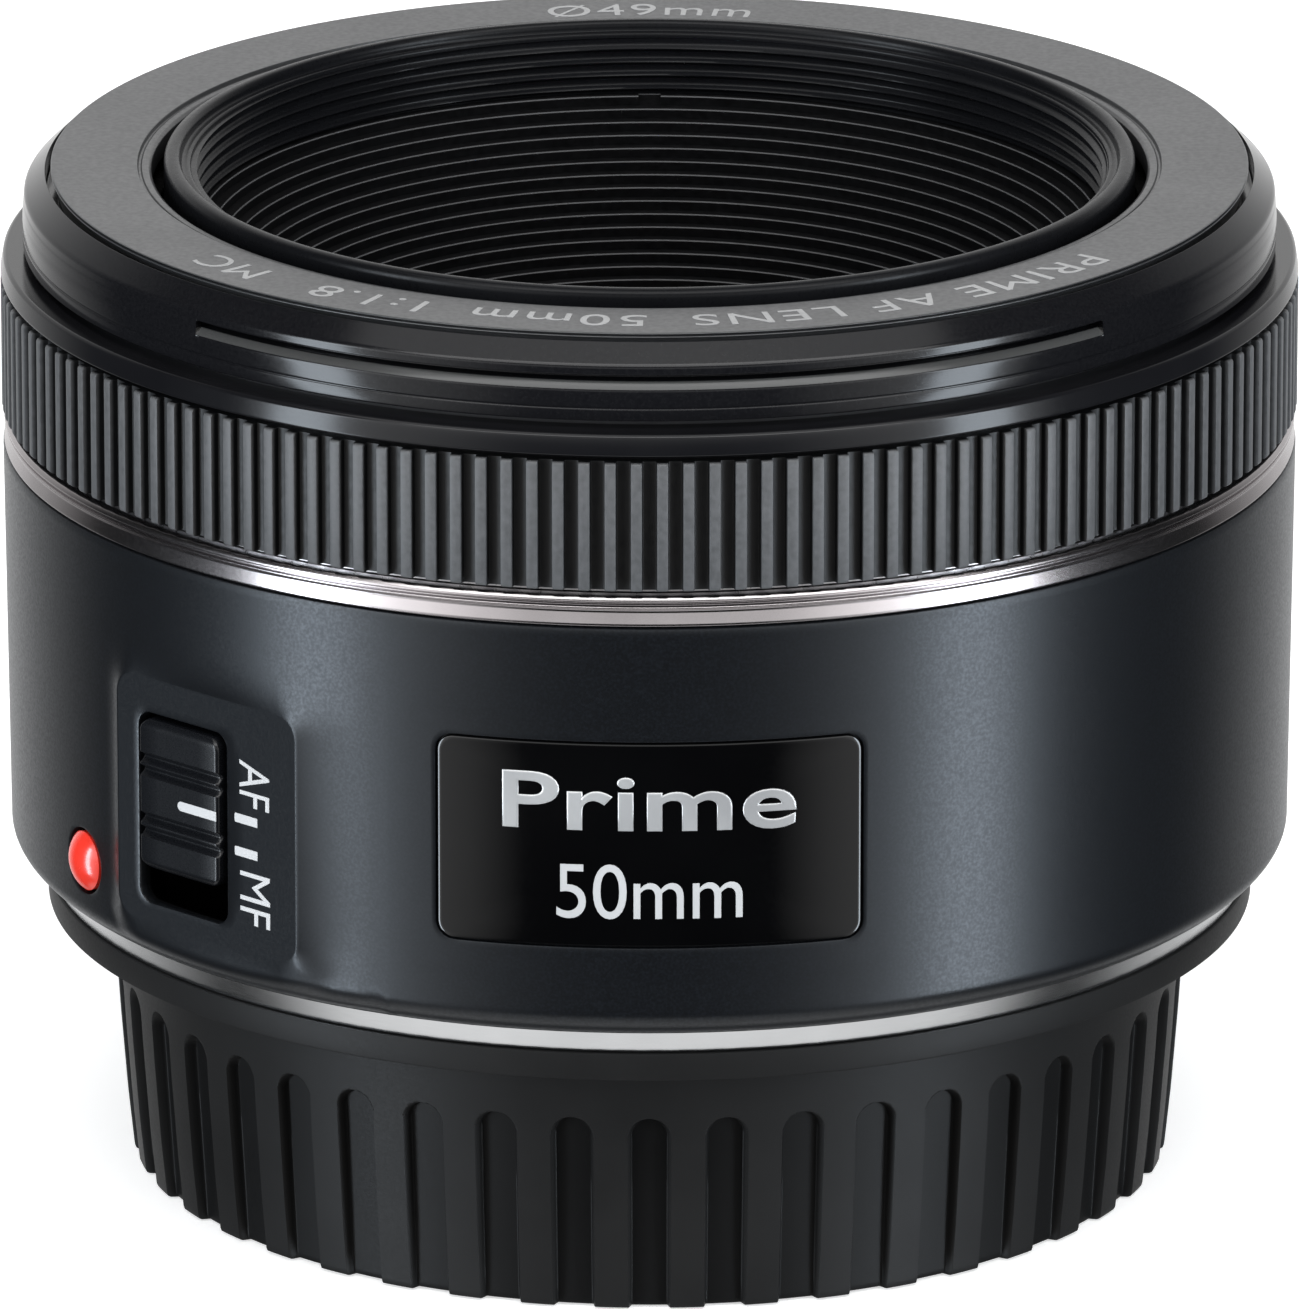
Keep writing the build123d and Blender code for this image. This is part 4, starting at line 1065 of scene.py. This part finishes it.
def rear_cap():
    """Cup with a rim flange and finger grooves with rounded tops."""
    zs = [-1.62, -1.75, -2.4, -3.2, -4.0]
    zs += [between(-4.8, -6.25, k / 26) for k in range(27)]
    zs += [between(-6.6, -15.3, k / 14) for k in range(15)]
    zs += [-15.5, -15.65]
    pitch = 360 / CAP_GROOVES
    arc = math.radians(1) * 28.3
    half = CAP_GROOVE_HALF
    steps = [0, 0.15, 0.3, 0.42, 0.53, 0.63, 0.72, 0.8, 0.87]
    steps += [half + grow for grow in (-0.17, -0.12, -0.08, -0.04, 0, 0.05, 0.1)]
    offsets = sorted({-s for s in steps} | set(steps))
    offsets += [between(offsets[-1], pitch * arc - offsets[-1], k / 5) for k in range(1, 5)]

    def wall(x, z):
        if z < CAP_GROOVE_TOP_Z - half:
            inside = half - abs(x)
        else:
            inside = half - math.hypot(x, z - CAP_GROOVE_TOP_Z + half)
        floor = CAP_FLOOR_R + CAP_FLOOR_SLOPE * (z - CAP_FLOOR_Z)
        return between(cap_radius(z), floor, ramp(inside, -0.05, 0.15))

    flange = [(27.3, -7), (27.3, -0.1), (32.3, -0.1), (32.37, -0.14), (32.4, -0.25),
              (32.4, -1.45), (32.37, -1.56), (32.3, -1.6), (29.12, -1.6)]
    under = [(25.8, CAP_BOTTOM_Z), (0, CAP_BOTTOM_Z), (0, -14.4), (25.8, -14.4), (26.2, -13)]
    sections = []
    for x in offsets:
        side = [(wall(x, z), z) for z in zs]
        last = side[-1][0]
        foot = [(last - 0.07, -15.83), (min(last - 0.2, 27.75), CAP_BOTTOM_Z)]
        sections.append(flange + side + foot + under)
    thetas, outlines = [], []
    for i in range(CAP_GROOVES):
        for x, section in zip(offsets, sections):
            thetas.append(pitch * i + x / arc)
            outlines.append(section)
    cup = swept(outlines, thetas)
    lugs = []
    for middle in (0, 120, 240):
        section = ((27.32, -5.0), (25.9, -5.0), (25.8, -4.9), (25.8, -3.7), (25.9, -3.6),
                   (27.32, -3.6))
        rings = [[place(r, middle + 25 * (k / 8 - 1), z) for r, z in section] for k in range(17)]
        lugs.append(ringed(rings))
    piece("cap_cup", joined(cup, *lugs), MATERIALS["cap_plastic"], ["rear_cap"], weighted=False)


# ---- CAD nodes that stay, lights, camera and floor ----

def finish_cad_nodes():
    """Gives every CAD node the procedural material of its slot."""
    for name, node in frame["nodes"].items():
        material = MATERIALS[SLOT_OF[name]]
        if not node.material_slots:
            node.data.materials.append(material)
        for entry in node.material_slots:
            entry.material = material


def light(name, azimuth, elevation, distance, width, height, power, colour=(1, 1, 1)):
    """Softbox that looks at the lens. Azimuth 0 is the camera's side."""
    a, e = math.radians(azimuth), math.radians(elevation)
    data = bpy.data.lights.new(name, "AREA")
    data.shape = "RECTANGLE"
    data.size, data.size_y = width, height
    data.energy = power
    data.color = colour
    lamp = bpy.data.objects.new(name, data)
    lamp.location = TARGET + distance * Vector(
        (math.sin(a) * math.cos(e), -math.cos(a) * math.cos(e), math.sin(e)))
    lamp.rotation_mode = "QUATERNION"
    lamp.rotation_quaternion = (lamp.location - TARGET).to_track_quat("Z", "Y")
    bpy.context.scene.collection.objects.link(lamp)


def studio():
    """White room to the camera; glows round the lens for other rays, and four soft boxes."""
    world = bpy.data.worlds.new("studio")
    bpy.context.scene.world = world
    world.use_nodes = True
    tree = world.node_tree
    seen = tree.nodes["Background"]
    seen.inputs["Color"].default_value = (1, 1, 1, 1)
    seen.inputs["Strength"].default_value = 1.0
    coordinate = tree.nodes.new("ShaderNodeTexCoord")
    axes = tree.nodes.new("ShaderNodeSeparateXYZ")
    room = tree.nodes.new("ShaderNodeBackground")
    path = tree.nodes.new("ShaderNodeLightPath")
    mix = tree.nodes.new("ShaderNodeMixShader")
    tree.links.new(coordinate.outputs["Generated"], axes.inputs["Vector"])

    x, y, z = axes.outputs
    back = spread(tree, y, 0.005, BACK_GLOW, *BACK_Y)
    front = spread(tree, y, 0, 1, *FRONT_Y)
    above = computed(tree, "MULTIPLY", spread(tree, z, 0, 1, *FRONT_LOW_Z),
                     spread(tree, z, FRONT_GLOW, 0.15, *FRONT_HIGH_Z))
    below = spread(tree, z, 0, UNDER_GLOW, *UNDER_Z)
    sides = spread(tree, computed(tree, "ABSOLUTE", x), 0, SIDE_GLOW, *SIDE_X)
    glow = computed(tree, "MULTIPLY", front, computed(tree, "ADD", above, sides))
    total = computed(tree, "ADD", computed(tree, "ADD", back, below), glow)
    tree.links.new(total, room.inputs["Strength"])
    tree.links.new(path.outputs["Is Camera Ray"], mix.inputs["Fac"])
    tree.links.new(room.outputs["Background"], mix.inputs[1])
    tree.links.new(seen.outputs["Background"], mix.inputs[2])
    tree.links.new(mix.outputs["Shader"], tree.nodes["World Output"].inputs["Surface"])
    light("left_box", -61, -4, 0.8, 0.17, 0.95, 5.7, BOX_TINT)
    light("right_box", 58, -4, 0.8, 0.17, 0.95, 5.7, BOX_TINT)
    light("front_box", 5, 60, 1.0, 1.5, 0.4, 7)
    light("top_box", 0, 82, 1.0, 1.2, 0.7, 4)


def floor():
    """Plain pale floor, a little below the cap so that the two never share a plane."""
    material, tree, shader = principled("pale_floor")
    tone = spread(tree, noise(tree, 6, 2), 0, 1)
    tree.links.new(mixed(tree, tone, (0.80, 0.80, 0.80), (0.84, 0.84, 0.84)),
                   shader.inputs["Base Color"])
    shader.inputs["Roughness"].default_value = 0.9
    shader.inputs["Emission Color"].default_value = (1, 1, 1, 1)
    shader.inputs["Emission Strength"].default_value = 0.55
    mesh = bpy.data.meshes.new("floor")
    turns = [2 * math.pi * k / 96 for k in range(96)]
    edge = [(6 * math.cos(t), 6 * math.sin(t), 0) for t in turns]
    mesh.from_pydata(edge, [], [tuple(range(96))])
    mesh.materials.append(material)
    ground = bpy.data.objects.new("floor", mesh)
    bpy.context.scene.collection.objects.link(ground)
    ground.location.z = -0.1 * MM
    ground.visible_glossy = False
    ground.visible_diffuse = False
    ground.visible_transmission = False
    ground.visible_shadow = False


def camera():
    """Long lens, so that the perspective is as flat as the photograph's."""
    data = bpy.data.cameras.new("camera")
    data.lens = LENS
    data.sensor_width = 36.0
    data.clip_start, data.clip_end = 0.05, 20.0
    eye = bpy.data.objects.new("camera", data)
    e = math.radians(ELEVATION)
    back = Vector((0, -math.cos(e), math.sin(e)))
    eye.location = TARGET + back * DISTANCE
    eye.rotation_mode = "QUATERNION"
    eye.rotation_quaternion = back.to_track_quat("Z", "Y")
    bpy.context.scene.collection.objects.link(eye)
    bpy.context.scene.camera = eye


finish_cad_nodes()
front_bezel()
name_ring()
inner_barrel()
baffle_cone()
focus_rim()
focus_grip()
trim_ring()
main_barrel()
nameplate()
index_dome()
switch_slider()
switch_marks()
rear_cap()
studio()
floor()
camera()
bpy.context.scene.view_settings.view_transform = "Standard"
